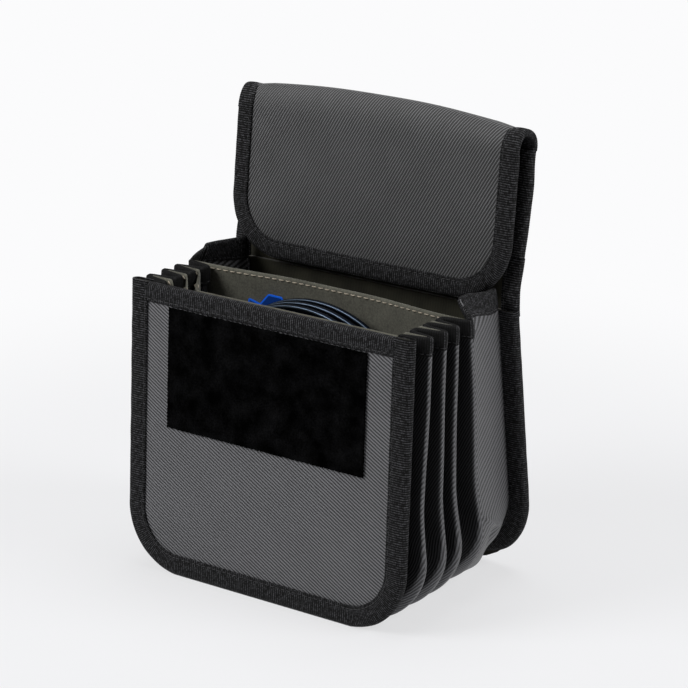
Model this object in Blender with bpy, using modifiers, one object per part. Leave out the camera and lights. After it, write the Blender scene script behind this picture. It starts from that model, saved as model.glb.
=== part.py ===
"""Accordion case for round lens filters, standing open with its flap thrown back.

Metres, +Z up, the front panel towards -Y. The origin is on the floor, under the
middle of the case. Depths below are measured from the front panel's foot.
"""
from math import cos, pi, radians, sin

import bmesh
import bpy
from mathutils import Vector

MM = 0.001

# Overall sizes of the case, as it stands open
CASE_DEPTH = 92.5 * MM
RIM_HEIGHT = 119.5 * MM
CLEARANCE = 0.3 * MM
CUT_OVERRUN = 3.0 * MM

# Layers of a stiffened panel, from its outer face to its inner face
TAPE = 0.5 * MM
SHELL = 0.6 * MM
BOARD = 1.0 * MM
LINING = 0.5 * MM
TAPE_WIDTH = 7.9 * MM

# Widths: the back panel sets them, the others are a little narrower or wider
BACK_WIDTH = 139.4 * MM
FRONT_SIDE_INSET = 1.0 * MM
GUSSET_OVERHANG = 0.3 * MM
FILTER_SIDE_ROOM = 18.0 * MM
FRONT_WIDTH = BACK_WIDTH - 2 * FRONT_SIDE_INSET
GUSSET_WIDTH = BACK_WIDTH + 2 * GUSSET_OVERHANG
FILTER_RADIUS = GUSSET_WIDTH / 2 - FILTER_SIDE_ROOM

# Front panel, leaning back
FRONT_HEIGHT = 121.0 * MM
FRONT_LEAN = radians(3.0)
FRONT_CORNER = 26.0 * MM
PATCH_WIDTH = 98.0 * MM
PATCH_HEIGHT = 50.0 * MM
PATCH_THICKNESS = 1.2 * MM
PATCH_DROP = 0.6 * MM

# Back panel, leaning forward
BACK_HEIGHT = 116.4 * MM
BACK_LEAN = radians(7.0)
BACK_CORNER = 32.0 * MM

# Pleated gusset: places of its outward folds, at the rim and at the floor
FOLD_DEPTHS_RIM = [18.4 * MM, 27.7 * MM, 35.8 * MM, 45.0 * MM]
FOLD_DEPTHS_FLOOR = [9.5 * MM, 23.5 * MM, 33.5 * MM, 54.3 * MM]
GUSSET_FOOT = 1.0 * MM
GUSSET_CORNER = 31.0 * MM
GUSSET_CLOTH = 0.6 * MM
PLEAT_DEPTH_RIM = 11.0 * MM
PLEAT_DEPTH_FLOOR = 8.5 * MM
FOLD_RIDGE = 2.0 * MM
SEAM_INSET_FRONT = 6.5 * MM
SEAM_INSET_BACK = 7.0 * MM
BACK_RIM_RISE = 6.0 * MM
SEAM_GAP = 0.6 * MM
RIM_TAPE_GAP = 1.6 * MM

# Dividers: where the middle of each hangs at the rim, and how far its top edge sags
DIVIDER_THICKNESS = 0.9 * MM
DIVIDER_INSET = 3.2 * MM
DIVIDER_MIDDLES_RIM = [16.4 * MM, 22.5 * MM, 28.6 * MM, 50.0 * MM]
DIVIDER_SAGS = [6.4 * MM, 6.4 * MM, 6.4 * MM, 0.5 * MM]
SLACK_FROM_INSETS = [12.0 * MM, 12.0 * MM, 12.0 * MM, 10.0 * MM]
SLACK_TO_INSETS = [16.0 * MM, 16.0 * MM, 16.0 * MM, 55.0 * MM]

# Flap: hinge line, the section that rises, the section that hangs in front of it
FLAP_TAPE = 0.4 * MM
FLAP_SHELL = 0.5 * MM
FLAP_BOARD = 0.8 * MM
FLAP_LINING = 0.4 * MM
FLAP_SIDE_INSET = 0.4 * MM
NECK_HEIGHT = 20.5 * MM
NECK_SET_BACK = 2.2 * MM
HINGE_LIFT = 14.5 * MM
HINGE_INSET = 2.8 * MM
RISE_LEAN = radians(12.0)
RISE_LENGTH = 42.3 * MM
HANG_LEAN = radians(6.6)
HANG_LENGTH = 60.2 * MM
HANG_TOP_LIFT = 0.6 * MM
HANG_CORNER = 25.0 * MM
HOOK_WIDTH = 92.0 * MM
HOOK_HEIGHT = 25.0 * MM
HOOK_THICKNESS = 0.8 * MM
HOOK_LIFT = 9.0 * MM
FOLD_OUTER_DEPTH = 13.5 * MM
FOLD_AXIS_INSET = 6.3 * MM
FOLD_AXIS_LIFT = 3.6 * MM
FOLD_RISE_SIDE = 8.2 * MM
FOLD_CROWN = 4.7 * MM
FOLD_BULGE_SHARE = 0.6
STRIP_THICKNESS = 1.3 * MM

# Belt loop on the back
LOOP_WIDTH = 45.0 * MM
LOOP_FOOT = 60.0 * MM
LOOP_LENGTH = 48.0 * MM
LOOP_SEWN = 8.0 * MM
LOOP_RAMP = 5.0 * MM
LOOP_STANDOFF = 5.4 * MM
WEBBING = 1.5 * MM

# Round filters in the fourth pocket
FILTER_THICKNESS = 4.6 * MM
FILTER_SPACING = 0.4 * MM
FILTER_WALL = 3.8 * MM
FILTER_BORE = FILTER_RADIUS - FILTER_WALL
FILTER_LIP = 1.6 * MM
FILTER_LIP_THICKNESS = 0.8 * MM
FILTER_CHAMFER = 0.5 * MM
GLASS_THICKNESS = 2.0 * MM
FILTER_COUNT = 3
FILTER_CENTRE = -3.3 * MM
FILTER_LEAN = radians(2.0)
FILTER_FOOT_DEPTH = 50.44 * MM
FILTER_HEIGHT = GUSSET_FOOT + GUSSET_CLOTH + PLEAT_DEPTH_FLOOR + CLEARANCE + FILTER_RADIUS
TAB_WIDTH = 12.0 * MM
TAB_HEIGHT = 30.0 * MM
TAB_THICKNESS = 0.5 * MM
TAB_CORNER = 2.0 * MM
TAB_CENTRE = -29.0 * MM
TAB_DROP = 3.5 * MM
TAB_GAP = 0.6 * MM
TAB_TOP = FILTER_HEIGHT + FILTER_RADIUS - TAB_DROP

# How finely arcs and curves are drawn, and how close points are before they merge
ARC_STEPS = 8
RING_STEPS = 48
SIDE_STEPS = 4
NECK_STEPS = 6
FOLD_STEPS = 12
FOLD_COLUMNS = 8
SLACK_SHARES = [0.0, 0.25, 0.5, 0.75, 1.0]
MERGE = 0.01 * MM


def stack_thickness(layers):
    """Thickness of a bound panel: its tape on both faces and the layers between."""
    return 2 * (layers[0] + CLEARANCE) + sum(layers[1:]) + 2 * CLEARANCE


PANEL_LAYERS = (TAPE, SHELL, BOARD, LINING)
FLAP_LAYERS = (FLAP_TAPE, FLAP_SHELL, FLAP_BOARD, FLAP_LINING)
PANEL_THICKNESS = stack_thickness(PANEL_LAYERS)
FLAP_THICKNESS = stack_thickness(FLAP_LAYERS)

# Where the flap's sections start and end, from the back panel's top upwards
FLAP_WIDTH = BACK_WIDTH - 2 * FLAP_SIDE_INSET
BACK_TOP_DEPTH = CASE_DEPTH - BACK_HEIGHT * sin(BACK_LEAN)
BACK_TOP_HEIGHT = BACK_HEIGHT * cos(BACK_LEAN)
HINGE_DEPTH = BACK_TOP_DEPTH - HINGE_INSET
HINGE_HEIGHT = BACK_TOP_HEIGHT + HINGE_LIFT
RISE_FOOT_DEPTH = BACK_TOP_DEPTH + NECK_SET_BACK
RISE_FOOT_HEIGHT = BACK_TOP_HEIGHT + NECK_HEIGHT
RISE_TOP_DEPTH = RISE_FOOT_DEPTH + RISE_LENGTH * sin(RISE_LEAN)
RISE_TOP_HEIGHT = RISE_FOOT_HEIGHT + RISE_LENGTH * cos(RISE_LEAN)
HANG_TOP_DEPTH = RISE_TOP_DEPTH - FOLD_OUTER_DEPTH
HANG_TOP_HEIGHT = RISE_TOP_HEIGHT + HANG_TOP_LIFT
HANG_FOOT_DEPTH = HANG_TOP_DEPTH - HANG_LENGTH * sin(HANG_LEAN)
HANG_FOOT_HEIGHT = HANG_TOP_HEIGHT - HANG_LENGTH * cos(HANG_LEAN)
FOLD_AXIS_DEPTH = RISE_TOP_DEPTH - FOLD_AXIS_INSET
FOLD_AXIS_HEIGHT = RISE_TOP_HEIGHT + FOLD_AXIS_LIFT

COLOURS = {
    "twill": ((0.055, 0.055, 0.058), 0.75),
    "flap_twill": ((0.050, 0.050, 0.053), 0.75),
    "binding": ((0.012, 0.012, 0.013), 0.85),
    "board": ((0.16, 0.16, 0.15), 0.7),
    "lining": ((0.055, 0.055, 0.045), 0.9),
    "microfibre": ((0.105, 0.103, 0.085), 0.9),
    "loop_tape": ((0.004, 0.004, 0.004), 1.0),
    "hook_tape": ((0.006, 0.006, 0.006), 0.8),
    "webbing": ((0.010, 0.010, 0.011), 0.8),
    "filter_ring": ((0.020, 0.024, 0.030), 0.35),
    "filter_glass": ((0.010, 0.011, 0.014), 0.05),
    "blue_tab": ((0.010, 0.060, 0.300), 0.5),
}
METALS = {"filter_ring"}


def mix(low, high, share):
    """The value that lies a share of the way from low to high."""
    return low + (high - low) * share


def smooth(share):
    """Ease from 0 to 1, level at both ends."""
    share = min(max(share, 0.0), 1.0)
    return share * share * (3 - 2 * share)


def from_front(depth):
    """World Y of a depth behind the front panel's foot."""
    return depth - CASE_DEPTH / 2


def material(name):
    """The material of a finish, made once."""
    found = bpy.data.materials.get(name)
    if found:
        return found
    colour, roughness = COLOURS[name]
    made = bpy.data.materials.new(name)
    made.use_nodes = True
    shader = made.node_tree.nodes["Principled BSDF"]
    shader.inputs["Base Color"].default_value = (*colour, 1.0)
    shader.inputs["Roughness"].default_value = roughness
    shader.inputs["Metallic"].default_value = 1.0 if name in METALS else 0.0
    return made


def collection(name):
    """A new collection in the scene."""
    made = bpy.data.collections.new(name)
    bpy.context.scene.collection.children.link(made)
    return made


def clear_scene():
    """Remove every object that is already there."""
    for old in list(bpy.data.objects):
        bpy.data.objects.remove(old, do_unlink=True)


clear_scene()
CASE = collection("lens_filter_case")
CUTTERS = collection("cutters")


def add(name, data, finish=None, frame=None):
    """Put a new object in the case, or among the cutters if it has no finish."""
    thing = bpy.data.objects.new(name, data)
    if finish:
        CASE.objects.link(thing)
        data.materials.append(material(finish))
    else:
        CUTTERS.objects.link(thing)
        thing.hide_render = True
        thing.display_type = "WIRE"
    thing.parent = frame
    return thing


def frame_at(name, depth, height, tilt=0.0, parent=None):
    """An empty that carries a leaning group; tilt turns its top towards the front."""
    empty = bpy.data.objects.new(name, None)
    CASE.objects.link(empty)
    place = Vector((0, from_front(depth), height))
    empty.location = place - parent.location if parent else place
    empty.rotation_euler = (tilt, 0, 0)
    empty.parent = parent
    return empty


def arc(centre, radius, start, end, steps=ARC_STEPS):
    """Points on a circle from one angle to another, both ends included."""
    angles = [mix(start, end, step / steps) for step in range(steps + 1)]
    return [(centre[0] + radius * cos(a), centre[1] + radius * sin(a)) for a in angles]


def rounded_foot(half_width, foot, top, corner):
    """Outline of a panel with round lower corners, from its top left corner down."""
    left = arc((corner - half_width, foot + corner), corner, pi, 3 * pi / 2)
    right = arc((half_width - corner, foot + corner), corner, 3 * pi / 2, 2 * pi)
    return [(-half_width, top)] + left + right + [(half_width, top)]


def oblong(left, right, foot, top):
    """Outline of a plain rectangle."""
    return [(left, foot), (right, foot), (right, top), (left, top)]


def edge_band(half_width, foot, top, corner, width):
    """Outline of a tape that runs down one side, along the foot and up the other."""
    outer = rounded_foot(half_width, foot, top, corner)
    inner = rounded_foot(half_width - width, foot + width, top, corner - width)
    return outer + inner[::-1]


def plate(name, outline, thickness, frame, depth, finish=None):
    """A flat piece in a frame: outline in X and Z, its middle at a local depth."""
    flat = bpy.data.curves.new(name, "CURVE")
    flat.dimensions = "2D"
    flat.fill_mode = "BOTH"
    flat.extrude = thickness / 2
    spline = flat.splines.new("POLY")
    spline.points.add(len(outline) - 1)
    for point, (x, z) in zip(spline.points, outline):
        point.co = (x, z, 0, 1)
    spline.use_cyclic_u = True
    piece = add(name, flat, finish, frame)
    piece.location = (0, depth, 0)
    piece.rotation_euler = (pi / 2, 0, 0)
    return piece


def as_mesh(piece, finish=None):
    """Turn a curve piece into a mesh piece, so that it can be cut or can cut."""
    bpy.context.view_layer.update()
    graph = bpy.context.evaluated_depsgraph_get()
    mesh = bpy.data.meshes.new_from_object(piece.evaluated_get(graph))
    work = bmesh.new()
    work.from_mesh(mesh)
    bmesh.ops.remove_doubles(work, verts=work.verts, dist=MERGE)
    work.to_mesh(mesh)
    work.free()
    mesh.materials.clear()
    name, frame = piece.name, piece.parent
    place, turn = piece.location.copy(), piece.rotation_euler.copy()
    bpy.data.objects.remove(piece, do_unlink=True)
    made = add(name, mesh, finish, frame)
    made.location, made.rotation_euler = place, turn
    return made


def cut(piece, cutter):
    """Cut one piece with another."""
    step = piece.modifiers.new(cutter.name, "BOOLEAN")
    step.operation = "DIFFERENCE"
    step.solver = "EXACT"
    step.object = cutter


def sheet(name, rows, thickness, finish=None, frame=None):
    """A wall of even thickness about a grid of points."""
    across = len(rows[0])
    points = [point for row in rows for point in row]
    faces = []
    for r in range(len(rows) - 1):
        for c in range(across - 1):
            first = r * across + c
            faces.append((first, first + 1, first + across + 1, first + across))
    mesh = bpy.data.meshes.new(name)
    mesh.from_pydata(points, [], faces)
    piece = add(name, mesh, finish, frame)
    wall = piece.modifiers.new("wall", "SOLIDIFY")
    wall.thickness = thickness
    wall.offset = 0
    wall.use_even_offset = True
    return piece


def tape_over(name, band, slot):
    """A binding tape: a band with a slot along its middle for the edge that it covers."""
    cut(band, slot)
    band.name = name
    return band


class Panel:
    """A stiffened panel: outer cloth, board and lining, seated in its binding tape."""

    def __init__(self, name, frame, inward, layers, outline_sizes):
        self.name = name
        self.frame = frame
        self.inward = inward
        self.tape, self.shell, self.board, self.lining = layers
        self.half_width, self.foot, self.top, self.corner = outline_sizes
        self.thickness = stack_thickness(layers)

    def core(self, grow, foot_open=False, top_open=False):
        """Outline of the layers inside the tape, grown by an amount."""
        inset = self.tape + CLEARANCE - grow
        foot = self.foot - CUT_OVERRUN if foot_open else self.foot + inset
        top = self.top + CUT_OVERRUN if top_open else self.top - inset
        if foot_open or not self.corner:
            return oblong(-self.half_width + inset, self.half_width - inset, foot, top)
        return rounded_foot(self.half_width - inset, foot, top, self.corner - inset)

    def layer(self, part, thickness, depth, finish):
        """One layer of the panel, its outer face at a depth inside the panel."""
        middle = self.inward * (depth + thickness / 2)
        inset = self.tape + CLEARANCE
        top = self.top - (CLEARANCE if self.open_top else inset)
        foot = self.foot + (CLEARANCE if self.open_foot else inset)
        if self.corner:
            outline = rounded_foot(self.half_width - inset, foot, top, self.corner - inset)
        else:
            outline = oblong(-self.half_width + inset, self.half_width - inset, foot, top)
        return plate(f"{self.name}_{part}", outline, thickness, self.frame, middle, finish)

    def build_layers(self, twill, open_top=False, open_foot=False):
        """The outer cloth, the board and the lining, one behind the other."""
        self.open_top, self.open_foot = open_top, open_foot
        depth = self.tape + CLEARANCE
        self.layer("shell", self.shell, depth, twill)
        depth += self.shell + CLEARANCE
        self.layer("board", self.board, depth, "board")
        depth += self.board + CLEARANCE
        self.layer("lining", self.lining, depth, "lining")

    def binding(self, part, outline):
        """Tape round an edge of the panel, folded over both faces."""
        middle = self.inward * self.thickness / 2
        band = as_mesh(plate(part, outline, self.thickness, self.frame, middle, "binding"),
                       "binding")
        slot_outline = self.core(CLEARANCE, self.open_foot, self.open_top)
        slot = plate(part + "_slot", slot_outline, self.thickness - 2 * self.tape,
                     self.frame, middle)
        return tape_over(part, band, as_mesh(slot))


def floor_cutter():
    """A block under the floor that trims what stands on it."""
    half = CASE_DEPTH
    outline = oblong(-half, half, -CUT_OVERRUN - half, 0)
    return as_mesh(plate("floor_cutter", outline, 2 * half, None, 0))


FLOOR = floor_cutter()


def front_panel():
    """Front panel with its two tapes and the fuzzy closing patch."""
    frame = frame_at("front_frame", 0, 0, -FRONT_LEAN)
    half = FRONT_WIDTH / 2
    panel = Panel("front", frame, 1, PANEL_LAYERS, (half, 0, FRONT_HEIGHT, FRONT_CORNER))
    panel.build_layers("twill")
    edge = panel.binding("front_edge_binding",
                         edge_band(half, 0, FRONT_HEIGHT, FRONT_CORNER, TAPE_WIDTH))
    cut(edge, FLOOR)
    reach = half - TAPE_WIDTH - CLEARANCE
    panel.binding("front_top_binding",
                  oblong(-reach, reach, FRONT_HEIGHT - TAPE_WIDTH, FRONT_HEIGHT))
    top = FRONT_HEIGHT - TAPE_WIDTH - PATCH_DROP
    depth = TAPE - PATCH_THICKNESS / 2
    plate("loop_patch", oblong(-PATCH_WIDTH / 2, PATCH_WIDTH / 2, top - PATCH_HEIGHT, top),
          PATCH_THICKNESS, frame, depth, "loop_tape")


def back_panel():
    """Back panel with its edge tape and the belt loop behind it."""
    frame = frame_at("back_frame", CASE_DEPTH, 0, BACK_LEAN)
    half = BACK_WIDTH / 2
    panel = Panel("back", frame, -1, PANEL_LAYERS, (half, 0, BACK_HEIGHT, BACK_CORNER))
    panel.build_layers("twill", open_top=True)
    edge = panel.binding("back_edge_binding",
                         edge_band(half, 0, BACK_HEIGHT, BACK_CORNER, TAPE_WIDTH))
    cut(edge, FLOOR)
    belt_loop(frame)


def belt_loop(frame):
    """Webbing strap sewn down at both ends, standing off the back in between."""
    seat = WEBBING / 2 - TAPE
    lifted = seat + LOOP_STANDOFF
    top = LOOP_FOOT + LOOP_LENGTH
    path = [(seat, LOOP_FOOT), (seat, LOOP_FOOT + LOOP_SEWN),
            (lifted, LOOP_FOOT + LOOP_SEWN + LOOP_RAMP),
            (lifted, top - LOOP_SEWN - LOOP_RAMP),
            (seat, top - LOOP_SEWN), (seat, top)]
    rows = [[(x, y, z) for y, z in path] for x in (-LOOP_WIDTH / 2, LOOP_WIDTH / 2)]
    sheet("belt_loop", rows, WEBBING, "webbing", frame)


def front_face(height):
    """Depth of the front panel's inner face at a height."""
    return PANEL_THICKNESS / cos(FRONT_LEAN) + height * sin(FRONT_LEAN) / cos(FRONT_LEAN)


def back_face(height):
    """Depth of the back panel's inner face at a height."""
    lean = sin(BACK_LEAN) / cos(BACK_LEAN)
    return CASE_DEPTH - PANEL_THICKNESS / cos(BACK_LEAN) - height * lean


def fold_depth(index, height):
    """Depth of an outward fold at a height."""
    return mix(FOLD_DEPTHS_FLOOR[index], FOLD_DEPTHS_RIM[index], height / RIM_HEIGHT)


def outline_point(inset, station):
    """Point on the gusset's U, or inside it: a side share, a corner angle or the middle."""
    kind, value, rim = station
    half = GUSSET_WIDTH / 2 - GUSSET_CLOTH / 2
    foot = GUSSET_FOOT + GUSSET_CLOTH / 2
    centre = (half - GUSSET_CORNER, foot + GUSSET_CORNER)
    reach = GUSSET_CORNER - inset
    if kind == "side":
        return half - inset, mix(rim, centre[1], value)
    if kind == "corner":
        return centre[0] + reach * cos(value), centre[1] - reach * sin(value)
    return 0.0, foot + inset


def pleat_row(kind, value, rim, side, seam_gap):
    """One row across the pleats, from the front seam to the back seam."""
    back_rim = rim + BACK_RIM_RISE
    row = []

    def put(inset, depth_of, top):
        x, z = outline_point(inset, (kind, value, top))
        row.append(Vector((side * x, from_front(depth_of(z)), z)))

    share = outline_point(0, (kind, value, rim))[1] / RIM_HEIGHT
    pleat = mix(PLEAT_DEPTH_FLOOR, PLEAT_DEPTH_RIM, share)
    put(SEAM_INSET_FRONT, lambda z: front_face(z) + seam_gap, rim)
    last = len(FOLD_DEPTHS_RIM) - 1
    for fold in range(last + 1):
        for edge in (-FOLD_RIDGE / 2, FOLD_RIDGE / 2):
            put(0, lambda z: fold_depth(fold, z) + edge, rim)
        if fold < last:
            for edge in (-FOLD_RIDGE / 2, FOLD_RIDGE / 2):
                put(pleat, lambda z: (fold_depth(fold, z) + fold_depth(fold + 1, z)) / 2 + edge,
                    rim)
    put(SEAM_INSET_BACK, lambda z: back_face(z) - seam_gap, back_rim)
    return row


def gusset():
    """Pleated strip that joins the panels: down one side, along the floor, up the other."""
    rim = RIM_HEIGHT - TAPE - CLEARANCE
    under_tape = RIM_HEIGHT - TAPE_WIDTH - CUT_OVERRUN
    stations = [("side", 0, rim), ("side", 0, under_tape)]
    stations += [("side", step / SIDE_STEPS, rim) for step in range(1, SIDE_STEPS)]
    stations += [("corner", pi / 2 * step / ARC_STEPS, rim) for step in range(ARC_STEPS + 1)]
    rows = [pleat_row(*station, -1, SEAM_GAP) for station in stations]
    rows.append(pleat_row("middle", 0, rim, 1, SEAM_GAP))
    rows += [pleat_row(*station, 1, SEAM_GAP) for station in stations[::-1]]
    sheet("gusset", rows, GUSSET_CLOTH, "twill")


def moved_ends(row, distance):
    """The row with its first and last point moved outwards along their own legs."""
    row = [point.copy() for point in row]
    row[0] += (row[0] - row[1]).normalized() * distance
    row[-1] += (row[-1] - row[-2]).normalized() * distance
    return row


def rim_rows(top, bottom, side, stretch):
    """Rows of the gusset's wall between two heights below its rim."""
    rows = []
    for height in (top, bottom):
        row = pleat_row("side", 0, height, side, SEAM_GAP)
        rows.append(moved_ends(row, stretch))
    return rows


def rim_binding(side, name):
    """Tape folded over the gusset's rim on one side, following its pleats."""
    wall = GUSSET_CLOTH + 2 * CLEARANCE
    band = sheet(name, rim_rows(RIM_HEIGHT, RIM_HEIGHT - TAPE_WIDTH, side,
                                SEAM_GAP - RIM_TAPE_GAP), wall + 2 * TAPE, "binding")
    slot = sheet(name + "_slot", rim_rows(RIM_HEIGHT - TAPE, RIM_HEIGHT - TAPE_WIDTH
                                          - CUT_OVERRUN, side, SEAM_GAP), wall)
    tape_over(name, band, slot)


def divider(index):
    """A cloth leaf sewn into one outward fold, slack towards the front in its middle."""
    half = GUSSET_WIDTH / 2 - GUSSET_CLOTH / 2 - DIVIDER_INSET
    corner = GUSSET_CORNER - DIVIDER_INSET
    foot = GUSSET_FOOT + GUSSET_CLOTH / 2 + DIVIDER_INSET
    slack_from = GUSSET_WIDTH / 2 - SLACK_FROM_INSETS[index]
    slack_to = GUSSET_WIDTH / 2 - SLACK_TO_INSETS[index]
    bends = [mix(slack_from, slack_to, share) for share in SLACK_SHARES]
    right = [0.0] + [x / half for x in bends[::-1]] + [1.0]
    shares = [-share for share in right[:0:-1]] + right
    rows = []

    def put(half_here, height_of):
        row = []
        for share in shares:
            x = share * half_here
            z = height_of(x)
            ease = smooth((slack_from - abs(x)) / (slack_from - slack_to))
            edge = fold_depth(index, z)
            middle = mix(FOLD_DEPTHS_FLOOR[index], DIVIDER_MIDDLES_RIM[index], z / RIM_HEIGHT)
            row.append((x, from_front(mix(edge, middle, ease)), z))
        rows.append(row)

    def top_edge(x):
        ease = smooth((slack_from - abs(x)) / (slack_from - slack_to))
        return RIM_HEIGHT - DIVIDER_SAGS[index] * ease

    for step in range(ARC_STEPS):
        angle = pi / 2 * step / ARC_STEPS
        height = foot + corner * (1 - cos(angle))
        put(half - corner * (1 - sin(angle)), lambda x: height)
    for step in range(SIDE_STEPS + 1):
        put(half, lambda x: mix(foot + corner, top_edge(x), step / SIDE_STEPS))
    sheet(f"divider_{index + 1}", rows, DIVIDER_THICKNESS, "microfibre")


def neck_path():
    """Middle of the soft strip that hinges the flap: depth and height, going up."""
    mean = (STRIP_THICKNESS + 2 * (CLEARANCE + FLAP_TAPE)) / 2
    lean = sin(BACK_LEAN) / cos(BACK_LEAN)
    start = BACK_TOP_HEIGHT + CLEARANCE
    bend = start + (RISE_FOOT_HEIGHT - start) / 2
    end = RISE_FOOT_HEIGHT - CLEARANCE
    first = Vector((CASE_DEPTH - mean - start * lean, start))
    second = Vector((CASE_DEPTH - mean - bend * lean, bend))
    last = Vector((RISE_FOOT_DEPTH - FLAP_THICKNESS / 2 / cos(RISE_LEAN), end))
    pull = (end - bend) / 3
    third = second + Vector((-lean, 1)) * pull
    fourth = last - Vector((sin(RISE_LEAN) / cos(RISE_LEAN), 1)) * pull
    path = [first]
    for step in range(NECK_STEPS + 1):
        t = step / NECK_STEPS
        point = (second * (1 - t) ** 3 + third * 3 * t * (1 - t) ** 2
                 + fourth * 3 * t * t * (1 - t) + last * t ** 3)
        path.append(point)
    return path


def strip_rows(path_at, columns):
    """Rows of a strip that runs across the case, from its path at each X."""
    return [[(x, from_front(y), z) for y, z in path_at(x)] for x in columns]


def side_tapes(name, path_at):
    """Tape folded over both side edges of a soft strip."""
    inner = FLAP_WIDTH / 2 - TAPE_WIDTH
    outer = FLAP_WIDTH / 2
    wall = STRIP_THICKNESS + 2 * CLEARANCE
    for side, label in ((-1, "left"), (1, "right")):
        edges = sorted((side * inner, side * outer))
        band = sheet(f"{name}_binding_{label}", strip_rows(path_at, edges),
                     wall + 2 * FLAP_TAPE, "binding")
        reach = sorted((side * (inner - CUT_OVERRUN), side * (outer - FLAP_TAPE)))
        slot = sheet(f"{name}_slot_{label}", strip_rows(stretched(path_at), reach), wall)
        tape_over(band.name, band, slot)


def stretched(path_at):
    """The same path, running a little past both ends."""
    def longer(x):
        path = [Vector(point) for point in path_at(x)]
        first = path[0] + (path[0] - path[1]).normalized() * CUT_OVERRUN
        last = path[-1] + (path[-1] - path[-2]).normalized() * CUT_OVERRUN
        return [first] + path + [last]
    return longer


def soft_strip(name, path_at, columns):
    """Unstiffened cloth between two stiff panels, with its side tapes."""
    sheet(f"{name}_strip", strip_rows(path_at, columns), STRIP_THICKNESS, "flap_twill")
    side_tapes(name, path_at)


def even_columns(count):
    """Places across the flap, between its side tapes' folds."""
    reach = FLAP_WIDTH / 2 - FLAP_TAPE - CLEARANCE
    return [mix(-reach, reach, step / count) for step in range(count + 1)]


def flap_neck():
    """Soft hinge between the back panel and the flap."""
    path = neck_path()
    soft_strip("flap_hinge", lambda x: path, even_columns(1))


def rise():
    """Stiff section of the flap that stands up behind the pockets."""
    axis = frame_at("flap_hinge_axis", HINGE_DEPTH, HINGE_HEIGHT)
    frame = frame_at("rise_frame", RISE_FOOT_DEPTH, RISE_FOOT_HEIGHT, -RISE_LEAN, axis)
    half = FLAP_WIDTH / 2
    panel = Panel("flap_rise", frame, -1, FLAP_LAYERS, (half, 0, RISE_LENGTH, 0))
    panel.build_layers("flap_twill", open_top=True, open_foot=True)
    for side, label in ((-1, "left"), (1, "right")):
        left, right = sorted((side * (half - TAPE_WIDTH), side * half))
        panel.binding(f"flap_rise_binding_{label}",
                      oblong(left, right, CLEARANCE, RISE_LENGTH - CLEARANCE))
    return axis


def hang(rise_axis):
    """Stiff section of the flap that hangs in front of the rise."""
    axis = frame_at("flap_fold_axis", FOLD_AXIS_DEPTH, FOLD_AXIS_HEIGHT, 0, rise_axis)
    frame = bpy.data.objects.new("hang_frame", None)
    CASE.objects.link(frame)
    frame.parent = axis
    frame.location = (0, HANG_FOOT_DEPTH - FOLD_AXIS_DEPTH, HANG_FOOT_HEIGHT - FOLD_AXIS_HEIGHT)
    frame.rotation_euler = (-HANG_LEAN, 0, 0)
    half = FLAP_WIDTH / 2
    panel = Panel("flap_front", frame, 1, FLAP_LAYERS, (half, 0, HANG_LENGTH, HANG_CORNER))
    panel.build_layers("flap_twill", open_top=True)
    panel.binding("flap_front_binding",
                  edge_band(half, 0, HANG_LENGTH - CLEARANCE, HANG_CORNER, TAPE_WIDTH))
    depth = FLAP_THICKNESS - FLAP_TAPE + HOOK_THICKNESS / 2
    plate("hook_patch", oblong(-HOOK_WIDTH / 2, HOOK_WIDTH / 2, HOOK_LIFT,
                               HOOK_LIFT + HOOK_HEIGHT),
          HOOK_THICKNESS, frame, depth, "hook_tape")


def fold_path(x):
    """Middle of the top fold at one X: over from the rise to the hanging section."""
    rise_depth = RISE_TOP_DEPTH - FLAP_THICKNESS / 2 / cos(RISE_LEAN)
    hang_depth = HANG_TOP_DEPTH + FLAP_THICKNESS / 2 / cos(HANG_LEAN)
    reach = (rise_depth - hang_depth) / 2
    centre = (rise_depth + hang_depth) / 2
    share = x / (FLAP_WIDTH / 2)
    crown = FOLD_RISE_SIDE + FOLD_CROWN * (1 - share * share)
    path = []
    for step in range(FOLD_STEPS + 1):
        angle = pi * step / FOLD_STEPS
        bulge = 1 + FOLD_BULGE_SHARE * sin(angle)
        base = mix(RISE_TOP_HEIGHT, HANG_TOP_HEIGHT, step / FOLD_STEPS) + CLEARANCE
        path.append((centre + reach * cos(angle) * bulge, base + crown * sin(angle)))
    return path


def flap_fold():
    """Soft fold over the top of the flap, higher in the middle."""
    soft_strip("flap_fold", fold_path, even_columns(FOLD_COLUMNS))


def ring_profile(inner, lip):
    """Section of a filter's ring: radius and place along its axis, outer side first."""
    half = FILTER_THICKNESS / 2
    chamfer = FILTER_CHAMFER
    return [(FILTER_RADIUS - chamfer, half), (FILTER_RADIUS, half - chamfer),
            (FILTER_RADIUS, chamfer - half), (FILTER_RADIUS - chamfer, -half),
            (lip, -half), (lip, FILTER_LIP_THICKNESS - half),
            (inner, FILTER_LIP_THICKNESS - half), (inner, half)]


def turned(name, profile, finish, frame):
    """A ring turned about its own Z axis."""
    mesh = bpy.data.meshes.new(name)
    points = [(radius, 0, height) for radius, height in profile]
    count = len(points)
    mesh.from_pydata(points, [(i, (i + 1) % count) for i in range(count)], [])
    piece = add(name, mesh, finish, frame)
    spin = piece.modifiers.new("turn", "SCREW")
    spin.steps = RING_STEPS
    spin.render_steps = RING_STEPS
    spin.use_merge_vertices = True
    spin.merge_threshold = MERGE
    return piece


def disc(name, radius, thickness, finish, frame):
    """A plain round pane about its own Z axis."""
    mesh = bpy.data.meshes.new(name)
    work = bmesh.new()
    bmesh.ops.create_cone(work, cap_ends=True, segments=RING_STEPS, radius1=radius,
                          radius2=radius, depth=thickness)
    work.to_mesh(mesh)
    work.free()
    return add(name, mesh, finish, frame)


def filter_rear(height):
    """Depth of the rearmost filter's rear face at a height."""
    return FILTER_FOOT_DEPTH - height * sin(FILTER_LEAN) / cos(FILTER_LEAN)


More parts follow.
